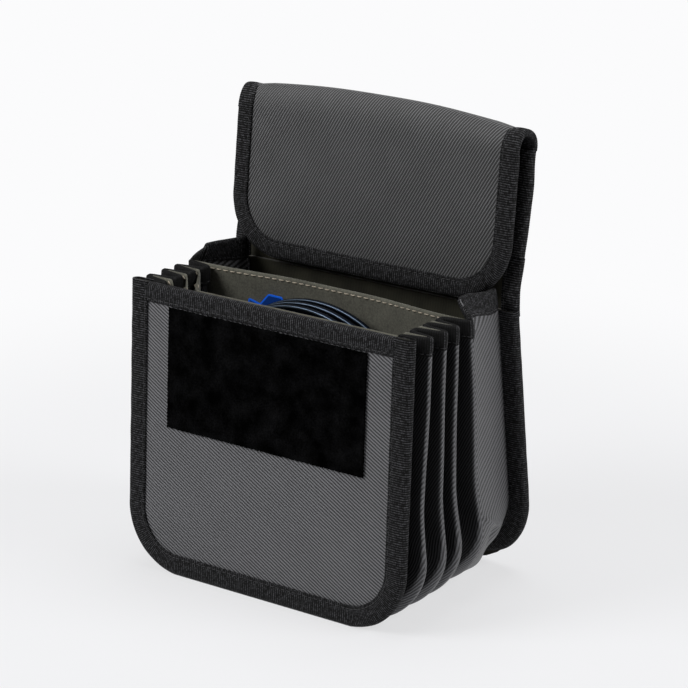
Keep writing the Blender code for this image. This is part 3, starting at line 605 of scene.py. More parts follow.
def pile_patch(name, place, half, foot, top, lift, finish, seed):
    """A patch of pile: a slab with a loop's random height at each grid point and ragged sides."""
    draw = np.random.default_rng(seed)
    across = np.linspace(-half, half, int(2 * half / PILE_PITCH))
    up = np.linspace(foot, top, int((top - foot) / PILE_PITCH))
    across, up = np.meshgrid(across, up)
    tuft = draw.random(across.shape)
    tuft = (tuft + np.roll(tuft, 1, 0) + np.roll(tuft, 1, 1)) / 3
    rise = PILE_ROUGH * tuft + 0.1 * MM * ripple(across, up, seed, 9 * MM)
    to_edge = np.minimum(half - np.abs(across), np.minimum(top - up, up - foot))
    rise = rise + lift * eased(to_edge, -0.6 * MM, 0.9 * MM)
    ragged = 0.32 * MM * (draw.random(across.shape) - 0.3)
    across = across + np.where(np.abs(across) > half - PILE_PITCH / 2, np.sign(across) * ragged, 0)
    lowest, highest = up < foot + PILE_PITCH / 2, up > top - PILE_PITCH / 2
    up = up + np.where(lowest, -ragged, 0) + np.where(highest, ragged, 0)
    piece = surface(name, place(across, -rise + 0.1 * MM, up), np.stack([across, up], -1), finish)
    thicken(piece, 0.35 * MM)
    return piece


loop_pile = pile_patch("loop_pile", front_place, PATCH_HALF, PATCH_TOP - PATCH_HEIGHT, PATCH_TOP,
                       PILE_LIFT - PILE_ROUGH, pile, 11)
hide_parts("loop_patch")
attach(loop_pile, "front")

# Pleated gusset
# One strip of the same twill that runs down one side, along the floor and up the other. It
# is folded in between the leaves like a bellows. Towards the floor the folds fill out to
# soft lobes, and behind the fourth fold it is one wide, plain stretch.
GUSSET_HALF = 69.7 * MM
GUSSET_FOOT = 1.3 * MM
GUSSET_CLOTH = 0.6 * MM
GUSSET_COLUMNS, GUSSET_ROWS = 36, 260
RIM_TUCK = 0.7 * MM
RIM_HEIGHT = 119.5 * MM
CASE_DEPTH = 2 * HALF_DEPTH
BACK_LEAN = radians(7.0)
BACK_RIM_RISE = 6.0 * MM
FOLDS_RIM = np.array([18.4, 27.7, 35.8, 45.0]) * MM
FOLDS_FLOOR = np.array([9.5, 23.5, 33.5, 54.3]) * MM
PLEAT_RIM = 11.0 * MM
PLEAT_FLOOR = 8.5 * MM
SEAM_INSET_FRONT = 6.5 * MM
SEAM_INSET_BACK = 7.0 * MM
SEAM_GAP = 0.6 * MM
FOLD_CORNERS = np.array([34.0, 29.0, 30.0, 31.0, 33.0, 34.0]) * MM
LOBE_FLARE = np.array([0.0, 3.0, 3.6, 3.6, 2.8, 0.0]) * MM
LEAVES = ["front", "first_leaf", "second_leaf", "third_leaf", "fourth_leaf", "back"]

pleat_twill = twill("pleat_twill", "#5c5c5f", "#1c1c1e", radians(62), 0.95 * MM)
wide_twill = twill("wide_twill", "#5c5c5f", "#060607", radians(25), 2.2 * MM)


def seam_depth(which, up):
    """Depth of a fold at a height: 0 is the front seam, 1 to 4 the outward folds, 5 the back seam."""
    if which == 0:
        return PANEL_THICKNESS / cos(FRONT_LEAN) + up * sin(FRONT_LEAN) / cos(FRONT_LEAN) + SEAM_GAP
    if which == 5:
        return (CASE_DEPTH - PANEL_THICKNESS / cos(BACK_LEAN) - up * sin(BACK_LEAN) / cos(BACK_LEAN)
                - SEAM_GAP)
    wander = 0.5 * MM * np.sin(up / (17 * MM) + 2.1 * which) * eased(RIM_HEIGHT - up, 8 * MM, 35 * MM)
    return FOLDS_FLOOR[which - 1] + (FOLDS_RIM - FOLDS_FLOOR)[which - 1] * up / RIM_HEIGHT + wander


def pleat_inset(pocket, share, up):
    """How far a point of a pocket's cloth lies inside the gusset's outline.

    share runs from one fold to the next. Between two outward folds the cloth dips to a
    recess with steep walls, and towards the floor to a narrow crease between round lobes.
    The first and last pockets rise or fall from a seam that is set in from the outline.
    """
    depth = PLEAT_FLOOR + (PLEAT_RIM - PLEAT_FLOOR) * np.clip(up / RIM_HEIGHT, 0, 1)
    lobe = 1 - eased(up, 5 * MM, 40 * MM)
    if pocket == 0:
        recess = SEAM_INSET_FRONT + (depth - SEAM_INSET_FRONT) * eased(share, 0, 0.45)
        flat = recess * (1 - eased(share, 0.42, 0.93))
        full = SEAM_INSET_FRONT * (1 - np.clip(share, 0, 1)) ** 1.4
        return flat + (full - flat) * lobe
    if pocket == 4:
        flat = SEAM_INSET_BACK * np.clip((share - 0.02) / 0.98, 0, 1)
        full = SEAM_INSET_BACK * np.clip(share, 0, 1) ** 3
        near = eased(share, 0, 0.1) * (1 - 0.9 * eased(share, 0.1, 0.95))
        lean = 6.3 * MM * eased(up, 114 * MM, 127 * MM) * near
        return flat + (full - flat) * lobe + lean
    inner = 1 - np.abs(2 * share - 1)
    steep = eased(inner, 0.09, 0.74)
    round_lobe = 1 - np.sqrt(1 - np.clip(inner, 0, 1) ** 2)
    return depth * (steep + (round_lobe - steep) * lobe)


def painted_shade_share(pocket, share, up):
    """How much painted shade a point gets: 0 on the crests and lobes, 1 in the recesses."""
    if pocket == 4:
        return 0 * share * up
    lobe = 1 - eased(up, 5 * MM, 40 * MM)
    return eased(pleat_inset(pocket, share, up), (0.0 + 1.6 * lobe) * MM, (0.26 + 2.8 * lobe) * MM)


def rim_rise(pocket, share):
    """How far the gusset's rim lies above its height at the folds: it rises to the back panel."""
    if pocket < 4:
        return 0 * share
    return (BACK_RIM_RISE + 1.5 * MM) * eased(share, -0.01, 0.12) - 2.5 * MM * eased(share, 0.1, 1)


def between(values, pocket, share):
    """One value for each fold, eased across a pocket from its first fold to its second."""
    return values[pocket] + (values[pocket + 1] - values[pocket]) * eased(share, 0, 1)


def gusset_run(pocket, share):
    """Length of the gusset's outline at a share of a pocket, from rim to rim."""
    height = RIM_HEIGHT + rim_rise(pocket, share) - GUSSET_FOOT
    return edge_length(GUSSET_HALF, height, between(FOLD_CORNERS, pocket, share))


def gusset_points(pocket, share, run, rim):
    """Points of one pocket's cloth: share across its depth, run down, along and up its U."""
    height = rim + rim_rise(pocket, share) - GUSSET_FOOT
    across, up, turn = round_edge(GUSSET_HALF, height, between(FOLD_CORNERS, pocket, share), run)
    up = up + GUSSET_FOOT
    inset = pleat_inset(pocket, share, up)
    start, end = seam_depth(pocket, up), seam_depth(pocket + 1, up)
    corner = np.sin(np.clip(turn, 0, pi)) * eased(np.sin(turn), 0.05, 0.6)
    middle = np.clip(4 * share * (1 - share), 0, 1)
    soft = 0.28 * MM * ripple(run, share * 30 * MM, 40 + pocket, 26 * MM) * middle
    if pocket == 4:
        soft = soft + 0.9 * MM * corner * np.sin(2 * pi * share * 1.3 + 9 * turn) * middle
        crest = 36 * MM - 17 * MM * share
        fade = eased(share, 0, 0.12) * (1 - eased(share, 0.6, 0.85))
        soft = soft - 1.0 * MM * fade * np.exp(-((up - crest) / (1.3 * MM)) ** 2)
        soft = soft + 3.2 * MM * np.exp(-((up - 21 * MM) / (5.5 * MM)) ** 2 - ((share - 0.48) / 0.2) ** 2)
    flare = between(LOBE_FLARE, pocket, share) * (1 - eased(up, 22 * MM, 55 * MM)) * np.cos(turn) ** 2
    inset = inset + soft - flare
    return np.stack([across + inset * np.cos(turn), start + (end - start) * share - HALF_DEPTH,
                     up + inset * np.sin(turn)], -1)


def arc_lengths(grid, axis):
    """Mean developed length of a grid's lines along one axis."""
    return float(np.linalg.norm(np.diff(grid, axis=axis), axis=-1).sum(axis).mean())


def bend_between(piece):
    """Bake a piece's transform into its mesh."""
    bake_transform(piece)


for pocket in range(5):
    shares = np.linspace(0, 1, GUSSET_COLUMNS)
    if pocket < 4:
        shares = 0.5 - 0.5 * np.cos(pi * shares)
    shares = close_ends(shares)
    share, run = np.meshgrid(shares, np.linspace(0, 1, GUSSET_ROWS))
    whole = gusset_run(pocket, share)
    run = run * whole
    grid = gusset_points(pocket, share, run, RIM_HEIGHT - RIM_TUCK)
    steps = np.linalg.norm(np.diff(grid, axis=1), axis=-1)
    width = np.concatenate([0 * steps[:, :1], np.cumsum(steps, axis=1)], 1)
    below = np.minimum(run, whole - run) - rim_rise(pocket, share)
    flat = np.stack([width, -below], -1)
    height = np.clip(RIM_HEIGHT - below, 2 * MM, RIM_HEIGHT)
    # The pleats' recesses get painted shade, darker the deeper the cloth lies in a fold.
    piece = surface(f"gusset_{pocket + 1}", grid[:, ::-1], flat[:, ::-1],
                    wide_twill if pocket == 4 else pleat_twill,
                    painted_shade=painted_shade_share(pocket, share, height)[:, ::-1])
    thicken(piece, GUSSET_CLOTH)
    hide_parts("gusset")
    bend_between(piece)

# Leaves between the pockets
# Two layers of olive-grey microfibre, turned in along the top and topstitched with beige
# thread. Each leaf is sewn into one outward fold of the gusset and hangs slack towards the
# front, apart from the fourth, which the filters hold flat.
LEAF_THICKNESS = 0.9 * MM
LEAF_EDGE = 2.0 * MM
LEAF_MIDDLES_RIM = np.array([16.4, 22.5, 28.6, 50.0]) * MM
LEAF_SAGS = np.array([6.4, 6.4, 6.4, 0.5]) * MM
SLACK_FROM = np.array([58.0, 58.0, 58.0, 60.0]) * MM
SLACK_TO = np.array([54.0, 54.0, 54.0, 15.0]) * MM
SEAM_BELOW_TOP = 1.6 * MM
LEAF_STITCH_PITCH = 3.15 * MM
LEAF_STITCH_LENGTH = 2.4 * MM
LEAF_THREAD = 0.3 * MM
LEAF_COLUMNS, LEAF_ROWS = 150, 70

microfibre, tree, shader = new_finish("olive_grey_microfibre",
                                      {"Roughness": 0.92, "Specular IOR Level": 0.25, "Sheen Weight": 0.25})
place = add_node(tree, "ShaderNodeTexCoord").outputs["Object"]
nap = add_node(tree, "ShaderNodeTexNoise", {"Scale": 1300.0, "Detail": 5.0, "Roughness": 0.7},
               {"Vector": place})
rubbed = add_node(tree, "ShaderNodeTexNoise", {"Scale": 70.0, "Detail": 3.0}, {"Vector": place})
shade = add_node(tree, "ShaderNodeMath", {1: 0.5}, {0: rubbed.outputs["Fac"]}, operation="MULTIPLY")
shade = add_node(tree, "ShaderNodeMath", links={0: shade.outputs[0], 1: nap.outputs["Fac"]})
dress(tree, shader, shade.outputs[0], (0.5, "#3d3c35"), (1.0, "#67665b"), nap.outputs["Fac"],
      0.35, 0.1 * MM)
beige_thread = thread_finish("beige_polyester_thread", "#6c6558", "#b5aa98", 0.5)


def leaf_points(index, across_share, up_share):
    """Points of a leaf's middle face: across_share from -1 to 1, up_share from its foot to its top.

    Its sides follow the outward fold, its lower corners the gusset's corner, and its middle
    hangs forward and lower, easing from one to the other where the cloth is slack.
    """
    half, corner = GUSSET_HALF - LEAF_EDGE, FOLD_CORNERS[index + 1] - LEAF_EDGE
    foot = GUSSET_FOOT + LEAF_EDGE
    ease = 1 - eased(np.abs(across_share) * half, SLACK_TO[index], SLACK_FROM[index])
    top = RIM_HEIGHT - 0.2 * MM - LEAF_SAGS[index] * ease
    up = foot + (top - foot) * up_share
    across = across_share * round_foot_width(up - foot, half, corner)
    ease = 1 - eased(np.abs(across), SLACK_TO[index], SLACK_FROM[index])
    middle = FOLDS_FLOOR[index] + (LEAF_MIDDLES_RIM - FOLDS_FLOOR)[index] * up / RIM_HEIGHT
    edge = seam_depth(index + 1, up)
    sway = 0.5 * MM * ripple(across, up, 60 + index, 55 * MM) * (1 - across_share ** 2)
    if index == 3:
        sway = 0.3 * sway
    return np.stack([across, edge + (middle - edge) * ease + sway - HALF_DEPTH, up], -1)


def normals_of(grid):
    """Unit normals of a grid of points, towards columns cross rows."""
    return unit(np.cross(np.gradient(grid, axis=1), np.gradient(grid, axis=0)))


for index in range(4):
    body = LEAVES[index + 1]
    shares = np.linspace(-1, 1, LEAF_COLUMNS)
    across_share, up_share = np.meshgrid(shares, np.linspace(0.012, 1, LEAF_ROWS))
    middle_face = leaf_points(index, across_share, up_share)
    normal = normals_of(middle_face)
    below_top = middle_face[-1:, :, 2] - middle_face[..., 2]
    dent = 0.16 * MM * np.exp(-((below_top - SEAM_BELOW_TOP) / (0.5 * MM)) ** 2)
    half_wall = (LEAF_THICKNESS / 2 + 0.12 * MM * eased(-below_top, -4 * MM, -1 * MM) - dent)[..., None]
    round_top = np.sqrt(np.clip(1 - np.clip(1 - below_top / (0.5 * MM), 0, 1) ** 2, 0.02, 1))[..., None]
    front_face = middle_face + normal * half_wall * round_top
    back_face = middle_face - normal * half_wall * round_top
    girthwise = np.concatenate([front_face, back_face[::-1]], 0).transpose(1, 0, 2)
    piece = surface(f"leaf_{index + 1}", girthwise[::-1], finish=microfibre, closed=True)
    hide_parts(f"divider_{index + 1}")
    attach(piece, body)
    upper_edge = leaf_points(index, shares, 0 * shares + 0.98)
    girth = float(np.linalg.norm(np.diff(upper_edge, axis=0), axis=1).sum())
    seam_shares = np.linspace(-0.955, 0.955, int(girth * 0.955 / LEAF_STITCH_PITCH))
    seam_up = 1 - SEAM_BELOW_TOP / RIM_HEIGHT + 0 * seam_shares
    seam = leaf_points(index, seam_shares, seam_up)
    nudge = leaf_points(index, seam_shares, seam_up + 0.004) - seam
    along = np.gradient(seam, axis=0)
    out = unit(np.cross(along, nudge))
    for side, way in (("front", 1), ("back", -1)):
        spots = seam + way * out * (LEAF_THICKNESS / 2 - 0.02 * MM)
        row = stitches(f"leaf_{index + 1}_stitches_{side}", spots, along, way * out, body, beige_thread,
                       length=LEAF_STITCH_LENGTH, thread=LEAF_THREAD)

# Rim binding of the gusset
# The same tape, folded over the gusset's rim and following each pleat in and out. It
# caps every fold, with the leaf's upper corner caught under it.
RIM_TAPE = 2.0 * MM
WIDE_RIM_EXTRA = 2.0 * MM
for side, name in ((-1, "left"), (1, "right")):
    for pocket in range(5):
        rim = gusset_points(pocket, np.linspace(0, 1, 40)[None], np.zeros((1, 40)), RIM_HEIGHT)
        length = arc_lengths(rim, 1)
        share = np.linspace(0.0, 1.0, int(length / (RIB_PITCH / 4)))
        end = 0 * share
        down = end + TAPE_WIDTH
        if side > 0:
            end = gusset_run(pocket, share)
            down = end - TAPE_WIDTH
        points = gusset_points(pocket, share, end, RIM_HEIGHT)
        along = unit(np.gradient(points, axis=0))
        inward = unit(gusset_points(pocket, share, down, RIM_HEIGHT) - points)
        out = unit(np.cross(along, inward) * -side)
        points = points + out * (RIM_TAPE / 2 - GUSSET_CLOTH / 2)
        if side > 0:
            points, inward, out = points[::-1], inward[::-1], out[::-1]
        # Painted shade on the rim tape, where it dips into the pleats' recesses.
        painted_shades = painted_shade_share(pocket, share, RIM_HEIGHT)
        pieces = tape(f"rim_tape_{name}_{pocket + 1}", points, inward, out, None, f"rim_binding_{name}",
                      RIM_TAPE, width=TAPE_WIDTH + (WIDE_RIM_EXTRA if pocket == 4 else 0),
                      seed=80 + pocket, painted_shade=painted_shades[::-1] if side > 0 else painted_shades)
        for piece in pieces:
            bend_between(piece)

# Linings and boards
# What little shows of the inner layers: a dark olive cloth lining behind stiff grey sheets.
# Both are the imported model's own plates, with a finish laid on.
lining, tree, shader = new_finish("dark_olive_lining", {"Roughness": 0.9, "Specular IOR Level": 0.2})
place = add_node(tree, "ShaderNodeTexCoord").outputs["Object"]
plain_weave = add_node(tree, "ShaderNodeTexWave", {"Scale": 2 * pi / 20 / (0.8 * MM), "Distortion": 1.5},
                       {"Vector": place}, bands_direction="X")
soiled = add_node(tree, "ShaderNodeTexNoise", {"Scale": 90.0, "Detail": 4.0}, {"Vector": place})
shade = add_node(tree, "ShaderNodeMath", {1: 0.3}, {0: plain_weave.outputs["Fac"]}, operation="MULTIPLY")
shade = add_node(tree, "ShaderNodeMath", links={0: shade.outputs[0], 1: soiled.outputs["Fac"]})
dress(tree, shader, shade.outputs[0], (0.3, "#1d1c18"), (1.0, "#3a392f"), shade.outputs[0], 0.4, 0.1 * MM)

fibreboard, tree, shader = new_finish("grey_stiffening_sheet", {"Roughness": 0.75})
place = add_node(tree, "ShaderNodeTexCoord").outputs["Object"]
fibres = add_node(tree, "ShaderNodeTexNoise", {"Scale": 400.0, "Detail": 5.0}, {"Vector": place})
dress(tree, shader, fibres.outputs["Fac"], (0.0, "#4c4b48"), (1.0, "#6b6a66"))


def lay_on(node, finish):
    """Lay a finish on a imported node, in place of its own."""
    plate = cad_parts[node]
    plate.data.materials.clear()
    plate.data.materials.append(finish)


for panel in ("front", "back", "flap_rise", "flap_front"):
    lay_on(f"{panel}_lining", lining)
    lay_on(f"{panel}_board", fibreboard)

# Back panel
# Made like the front one, a little wider, with rounder lower corners. Its tape is sewn to
# the gusset and stands out as a black flange along the side.
BACK_HALF = 69.7 * MM
BACK_HEIGHT = 116.4 * MM
BACK_CORNER = 32.0 * MM
back_plane = leaning(CASE_DEPTH, 0, BACK_LEAN)


def back_place(across, inward, up):
    """Places on the back panel, whose foot rises a little on its way into the round corners."""
    near = np.exp(-((np.abs(across) - 46 * MM) / (12 * MM)) ** 2)
    return back_plane(across, inward, up + 3.2 * MM * near * (1 - eased(up, 0, 26 * MM)))


back_twill = twill("back_twill", "#5f5f62", "#1f1f21", radians(57))
back_cloth = panel_cloth("back_cloth", back_place, BACK_HALF, BACK_HEIGHT, BACK_CORNER, 1, back_twill, 4)
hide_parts("back_shell")
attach(back_cloth, "back")
BACK_PROUD = 1.3 * MM
tape_half, tape_corner = BACK_HALF + BACK_PROUD, BACK_CORNER + BACK_PROUD
tape_height = BACK_HEIGHT - 0.3 * MM
across, up, turn = round_edge(tape_half, tape_height, tape_corner,
                              runs(edge_length(tape_half, tape_height, tape_corner)))
points, inward, out = panel_edge(back_place, across, up, turn)
tape("back_edge_tape", points[::-1], inward[::-1], -out[::-1], "back", "back_edge_binding",
     PANEL_THICKNESS, width=TAPE_WIDTH + BACK_PROUD, bend=corner_bend(turn)[::-1], seed=15)

# Belt loop
# A strap of black webbing across the middle of the back, sewn down at both ends with two
# rows of thread, so that a belt passes behind it.
LOOP_HALF = 22.5 * MM
LOOP_FOOT = 60.0 * MM
LOOP_LENGTH = 48.0 * MM
LOOP_SEWN = 8.0 * MM
LOOP_RAMP = 5.0 * MM
LOOP_STANDOFF = 5.4 * MM
LOOP_OUTER_SEAM, LOOP_INNER_SEAM = 1.8 * MM, 6.0 * MM
LOOP_COLUMNS, LOOP_ROWS = 37, 97
WEBBING = 1.5 * MM

webbing, tree, shader = new_finish("black_webbing", {"Roughness": 0.6})
cloth = add_node(tree, "ShaderNodeUVMap", uv_map="cloth").outputs["UV"]
rows_across = add_node(tree, "ShaderNodeTexWave", {"Scale": 2 * pi / 20 / (1.3 * MM), "Distortion": 0.8},
                       {"Vector": cloth}, bands_direction="Y")
ends = add_node(tree, "ShaderNodeTexWave", {"Scale": 2 * pi / 20 / (2.1 * MM), "Distortion": 0.6},
                {"Vector": cloth}, bands_direction="X")
weave = add_node(tree, "ShaderNodeMath", links={0: rows_across.outputs["Fac"], 1: ends.outputs["Fac"]},
                 operation="MULTIPLY")
dress(tree, shader, weave.outputs[0], (0.0, "#0a0a0b"), (1.0, "#343437"), weave.outputs[0], 0.8, 0.3 * MM)

loop_top = LOOP_FOOT + LOOP_LENGTH
up = np.linspace(LOOP_FOOT, loop_top, LOOP_ROWS)
inner_foot, inner_top = LOOP_FOOT + LOOP_SEWN, loop_top - LOOP_SEWN
lift = (LOOP_STANDOFF * eased(up, inner_foot, inner_foot + LOOP_RAMP)
        * (1 - eased(up, inner_top - LOOP_RAMP, inner_top)))
sections = []
for height, off in zip(up, lift):
    across = np.linspace(-LOOP_HALF, LOOP_HALF, LOOP_COLUMNS)
    thin = WEBBING / 2 * np.sqrt(np.clip(1 - (np.abs(across) / LOOP_HALF) ** 14, 0.05, 1))
    middle = WEBBING / 2 + 0.05 * MM + off - 0.5 * MM
    behind = np.concatenate([middle + thin, (middle - thin)[::-1]])
    sections.append(back_place(np.concatenate([across, across[::-1]]), behind, height))
girth = np.concatenate([across, across[::-1] + 2.5 * LOOP_HALF])
flat = np.stack(np.broadcast_arrays(girth[None, :], up[:, None]), -1)
belt_strap = surface("belt_strap", np.array(sections)[:, ::-1], flat[:, ::-1], webbing, closed=True)
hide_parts("belt_loop")
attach(belt_strap, "back")
seams = []
for height in (LOOP_FOOT + LOOP_OUTER_SEAM, LOOP_FOOT + LOOP_INNER_SEAM,
               loop_top - LOOP_INNER_SEAM, loop_top - LOOP_OUTER_SEAM):
    across = np.arange(-LOOP_HALF + 1.6 * MM, LOOP_HALF - 1.0 * MM, STITCH_PITCH)
    seams.append(back_place(across, WEBBING - 0.45 * MM, height))
points = np.concatenate(seams)
ways = np.broadcast_to([1.0, 0.0, 0.0], points.shape)
behind = back_place(0, 1, 0) - back_place(0, 0, 0)
strap_seams = stitches("belt_strap_stitches", points, ways, np.broadcast_to(behind, points.shape), "back")

# Flap
# One twill cloth runs on from the back panel: a soft hinge, a stiff section that stands up,
# a soft fold over the top that is fuller in the middle, and a stiff section that hangs in
# front with round lower corners. Tape binds both sides and the foot.
FLAP_HALF = 69.3 * MM
FLAP_THICKNESS = 3.7 * MM
FLAP_CLOTH = 0.5 * MM
FLAP_SUNK = 0.80 * MM
FLAP_SWELL = 0.38 * MM
FLAP_WAVE = 0.14 * MM
FLAP_COLUMNS = 93
PROUD = {-1: 0.8 * MM, 1: 2.4 * MM}
PROUD_TOP = {-1: 0.6 * MM, 1: 1.1 * MM}
STRIP = 1.3 * MM
STRIP_BOUND = 2.7 * MM
RISE_LEAN, HANG_LEAN = radians(12.0), radians(6.6)
RISE_LENGTH, HANG_LENGTH = 42.3 * MM, 60.2 * MM
HANG_CORNER = 25.0 * MM
BACK_TOP = np.array([CASE_DEPTH - BACK_HEIGHT * sin(BACK_LEAN), BACK_HEIGHT * cos(BACK_LEAN)])
RISE_FOOT = BACK_TOP + np.array([2.2, 20.5]) * MM
RISE_TOP = RISE_FOOT + RISE_LENGTH * np.array([sin(RISE_LEAN), cos(RISE_LEAN)])
HANG_TOP = RISE_TOP + np.array([-13.5, 0.6]) * MM
HANG_FOOT = HANG_TOP - HANG_LENGTH * np.array([sin(HANG_LEAN), cos(HANG_LEAN)])
FOLD_SIDE = 9.5 * MM
FOLD_CROWN = 4.7 * MM

# The flap's twill is the panels' cloth in darker greys than the front's: painted shade, for the flap catching
# less light than the front panel.
flap_twill = twill("flap_twill", "#646466", "#010101", radians(60.5), 1.17 * MM, (0.46, 0.70))
rise_place = leaning(*RISE_FOOT, -RISE_LEAN)
hang_place = leaning(*HANG_FOOT, -HANG_LEAN)


def hinge_points(across, share):
    """Outer face of the soft hinge: up the back panel's plane, then bending back to the rise."""
    start = BACK_TOP + 2.5 * MM * np.array([sin(BACK_LEAN), -cos(BACK_LEAN)])
    second = BACK_TOP + 8 * MM * np.array([-0.02, 1])
    third = RISE_FOOT - 9 * MM * np.array([sin(RISE_LEAN) / cos(RISE_LEAN), 1])
    low = np.clip(share / 0.11, 0, 1)[..., None]
    t = np.clip((share - 0.11) / 0.89, 0, 1)[..., None]
    curve = (BACK_TOP * (1 - t) ** 3 + second * 3 * t * (1 - t) ** 2 + third * 3 * t * t * (1 - t)
             + RISE_FOOT * t ** 3)
    spot = np.where(low < 1, start + (BACK_TOP - start) * low, curve)
    return np.stack([across, spot[..., 0] - HALF_DEPTH, spot[..., 1]], -1)


def fold_points(across, share):
    """Outer face of the top fold, over from the rise's rear face to the hanging section's front."""
    angle = pi * share
    middle, reach = (RISE_TOP[0] + HANG_TOP[0]) / 2, (RISE_TOP[0] - HANG_TOP[0]) / 2
    crown = FOLD_SIDE + FOLD_CROWN * (1 - (across / FLAP_HALF) ** 2)
    fuller = np.where(angle < pi / 2, 0.42, -sin(HANG_LEAN) / cos(HANG_LEAN) * crown / reach)
    crown = crown + 0.35 * MM * ripple(across, 0 * across, 131, 70 * MM)
    depth = middle + reach * np.cos(angle) * (1 + fuller * np.sin(angle))
    height = RISE_TOP[1] + (HANG_TOP[1] - RISE_TOP[1]) * share + crown * np.sin(angle)
    return np.stack([across, depth - HALF_DEPTH, height], -1)


def flap_cloth(name, grid, start, thickness, to_foot=1.0, lined=True):
    """A stretch of the flap's cloth: rows go up the rear, over and down, columns from +X to -X.

    start is how far along the cloth its first row lies. The face lies below the tape's at
    the sides and fills out between them; the hidden side is lining where it is lined.
    """
    across = grid[..., 0]
    width = np.abs(across).max(1)[:, None]
    to_edge = np.minimum(width - np.abs(across), to_foot)
    sunk = FLAP_SUNK - FLAP_SWELL * eased(to_edge, 5 * MM, 14 * MM)
    sunk = sunk - FLAP_WAVE * ripple(across, grid[..., 2], 24, WAVE_LENGTH) * eased(to_edge, 6 * MM, 20 * MM)
    steps = np.linalg.norm(np.diff(grid, axis=0), axis=-1).mean(1)
    along = start + np.concatenate([[0], np.cumsum(steps)])
    flat = np.stack(np.broadcast_arrays(across, -along[:, None]), -1)
    normal = normals_of(grid)
    normal[1], normal[-2] = normal[0], normal[-1]
    piece = surface(name, grid - normal * sunk[..., None], flat, flap_twill)
    wall = thicken(piece, thickness)
    if lined:
        piece.data.materials.append(lining)
        wall.material_offset = 1
    return piece, along[-1]


columns = np.linspace(FLAP_HALF - CLOTH_SHORT, -FLAP_HALF + CLOTH_SHORT, FLAP_COLUMNS)
across, share = np.meshgrid(columns, close_ends(np.linspace(0, 1, 22)))
hinge_cloth, reached = flap_cloth("hinge_cloth", hinge_points(across, share), 0, STRIP)
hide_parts("flap_hinge_strip")
across, up = np.meshgrid(columns, close_ends(np.linspace(0, RISE_LENGTH, 30)))
rise_cloth, reached = flap_cloth("rise_cloth", rise_place(across, 0, up), reached, FLAP_CLOTH)
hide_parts("flap_rise_shell")
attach(rise_cloth, "flap_rise")
across, share = np.meshgrid(columns, close_ends(np.linspace(0, 1, 40)))
fold_cloth, reached = flap_cloth("fold_cloth", fold_points(across, share), reached, STRIP, lined=False)
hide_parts("flap_fold_strip")
ups = np.concatenate([np.arange(HANG_LENGTH, HANG_CORNER, -GRID),
                      HANG_CORNER * (1 - np.cos(np.linspace(pi / 2, 0.14, 16)))])
ups = close_ends(ups)
widths = round_foot_width(ups, FLAP_HALF, HANG_CORNER) - CLOTH_SHORT
up = np.broadcast_to(ups[:, None], (len(ups), FLAP_COLUMNS))
across = widths[:, None] * np.linspace(1, -1, FLAP_COLUMNS)[None, :]
hang_cloth, reached = flap_cloth("hang_cloth", hang_place(across, 0, up), reached, FLAP_CLOTH, to_foot=up)
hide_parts("flap_front_shell")
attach(hang_cloth, "flap_front")


def bend_hinge(piece):
    """Bake a piece of the soft hinge's transform into its mesh."""
    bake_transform(piece)


def bend_fold(piece):
    """Bake a piece of the top fold's transform into its mesh."""
    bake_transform(piece)


def side_tape(name, edge_points, side, body, node, thickness, seed, proud):
    """Tape down one side of the flap, along the outer face's edge, and the stitches on it.

    proud says how far it stands out from that edge at a share of its length.
    """
    share = np.linspace(0, 1, 60)
    length = float(np.linalg.norm(np.diff(edge_points(0 * share, share), axis=0), axis=1).sum())
    share = np.linspace(0, 1, int(length / (RIB_PITCH / 4)))
    points = edge_points(side * (FLAP_HALF + proud(share)), share)
    along = unit(np.gradient(points, axis=0))
    inward = np.broadcast_to([-1.0 * side, 0.0, 0.0], points.shape)
    out = np.cross(along, inward) * -side
    if side > 0:
        points, out = points[::-1], out[::-1]
    return tape(name, points, inward, out, body, node, thickness, seed=seed)


for side, label in ((-1, "left"), (1, "right")):
    at_back, full, at_top = BACK_HALF + BACK_PROUD - FLAP_HALF, PROUD[side], PROUD_TOP[side]
    for piece in side_tape(f"hinge_tape_{label}", hinge_points, side, None,
                           f"flap_hinge_binding_{label}", STRIP_BOUND, 31 + side,
                           lambda share: at_back + (full - at_back) * eased(share, 0.35, 1)):
        bend_hinge(piece)
    side_tape(f"rise_tape_{label}", lambda across, share: rise_place(across, 0, share * RISE_LENGTH),
              side, "flap_rise", f"flap_rise_binding_{label}", FLAP_THICKNESS, 34 + side,
              lambda share: full + (at_top - full) * eased(share, 0.55, 1))
    for piece in side_tape(f"fold_tape_{label}", fold_points, side, None,
                           f"flap_fold_binding_{label}", STRIP_BOUND, 37 + side,
                           lambda share: at_top * (1 - eased(share, 0, 0.9))):
        bend_fold(piece)
bend_hinge(hinge_cloth)
bend_fold(fold_cloth)
across, up, turn = round_edge(FLAP_HALF, HANG_LENGTH, HANG_CORNER,
                              runs(edge_length(FLAP_HALF, HANG_LENGTH, HANG_CORNER)))
tape("hang_edge_tape", *panel_edge(hang_place, across, up, turn), "flap_front", "flap_front_binding",
     FLAP_THICKNESS, bend=corner_bend(turn), seed=41)

# Hook patch
# The hook half of the closure, on the hanging section's hidden face: stiff nylon hooks in
# close rows, duller and coarser than the loops.
HOOK_HALF = 46.0 * MM
HOOK_FOOT = 9.0 * MM
HOOK_HEIGHT = 25.0 * MM
hooks, tree, shader = new_finish("black_nylon_hooks", {"Roughness": 0.55})
place = add_node(tree, "ShaderNodeTexCoord").outputs["Object"]
stubble = add_node(tree, "ShaderNodeTexVoronoi", {"Scale": 1100.0}, {"Vector": place})
dress(tree, shader, stubble.outputs["Distance"], (0.0, "#222224"), (0.6, "#060607"))


def hang_rear(across, inward, up):
    """Places points on the hanging section's hidden face, seen from behind."""
    return hang_place(-np.asarray(across), FLAP_THICKNESS - 0.4 * MM - np.asarray(inward), up)


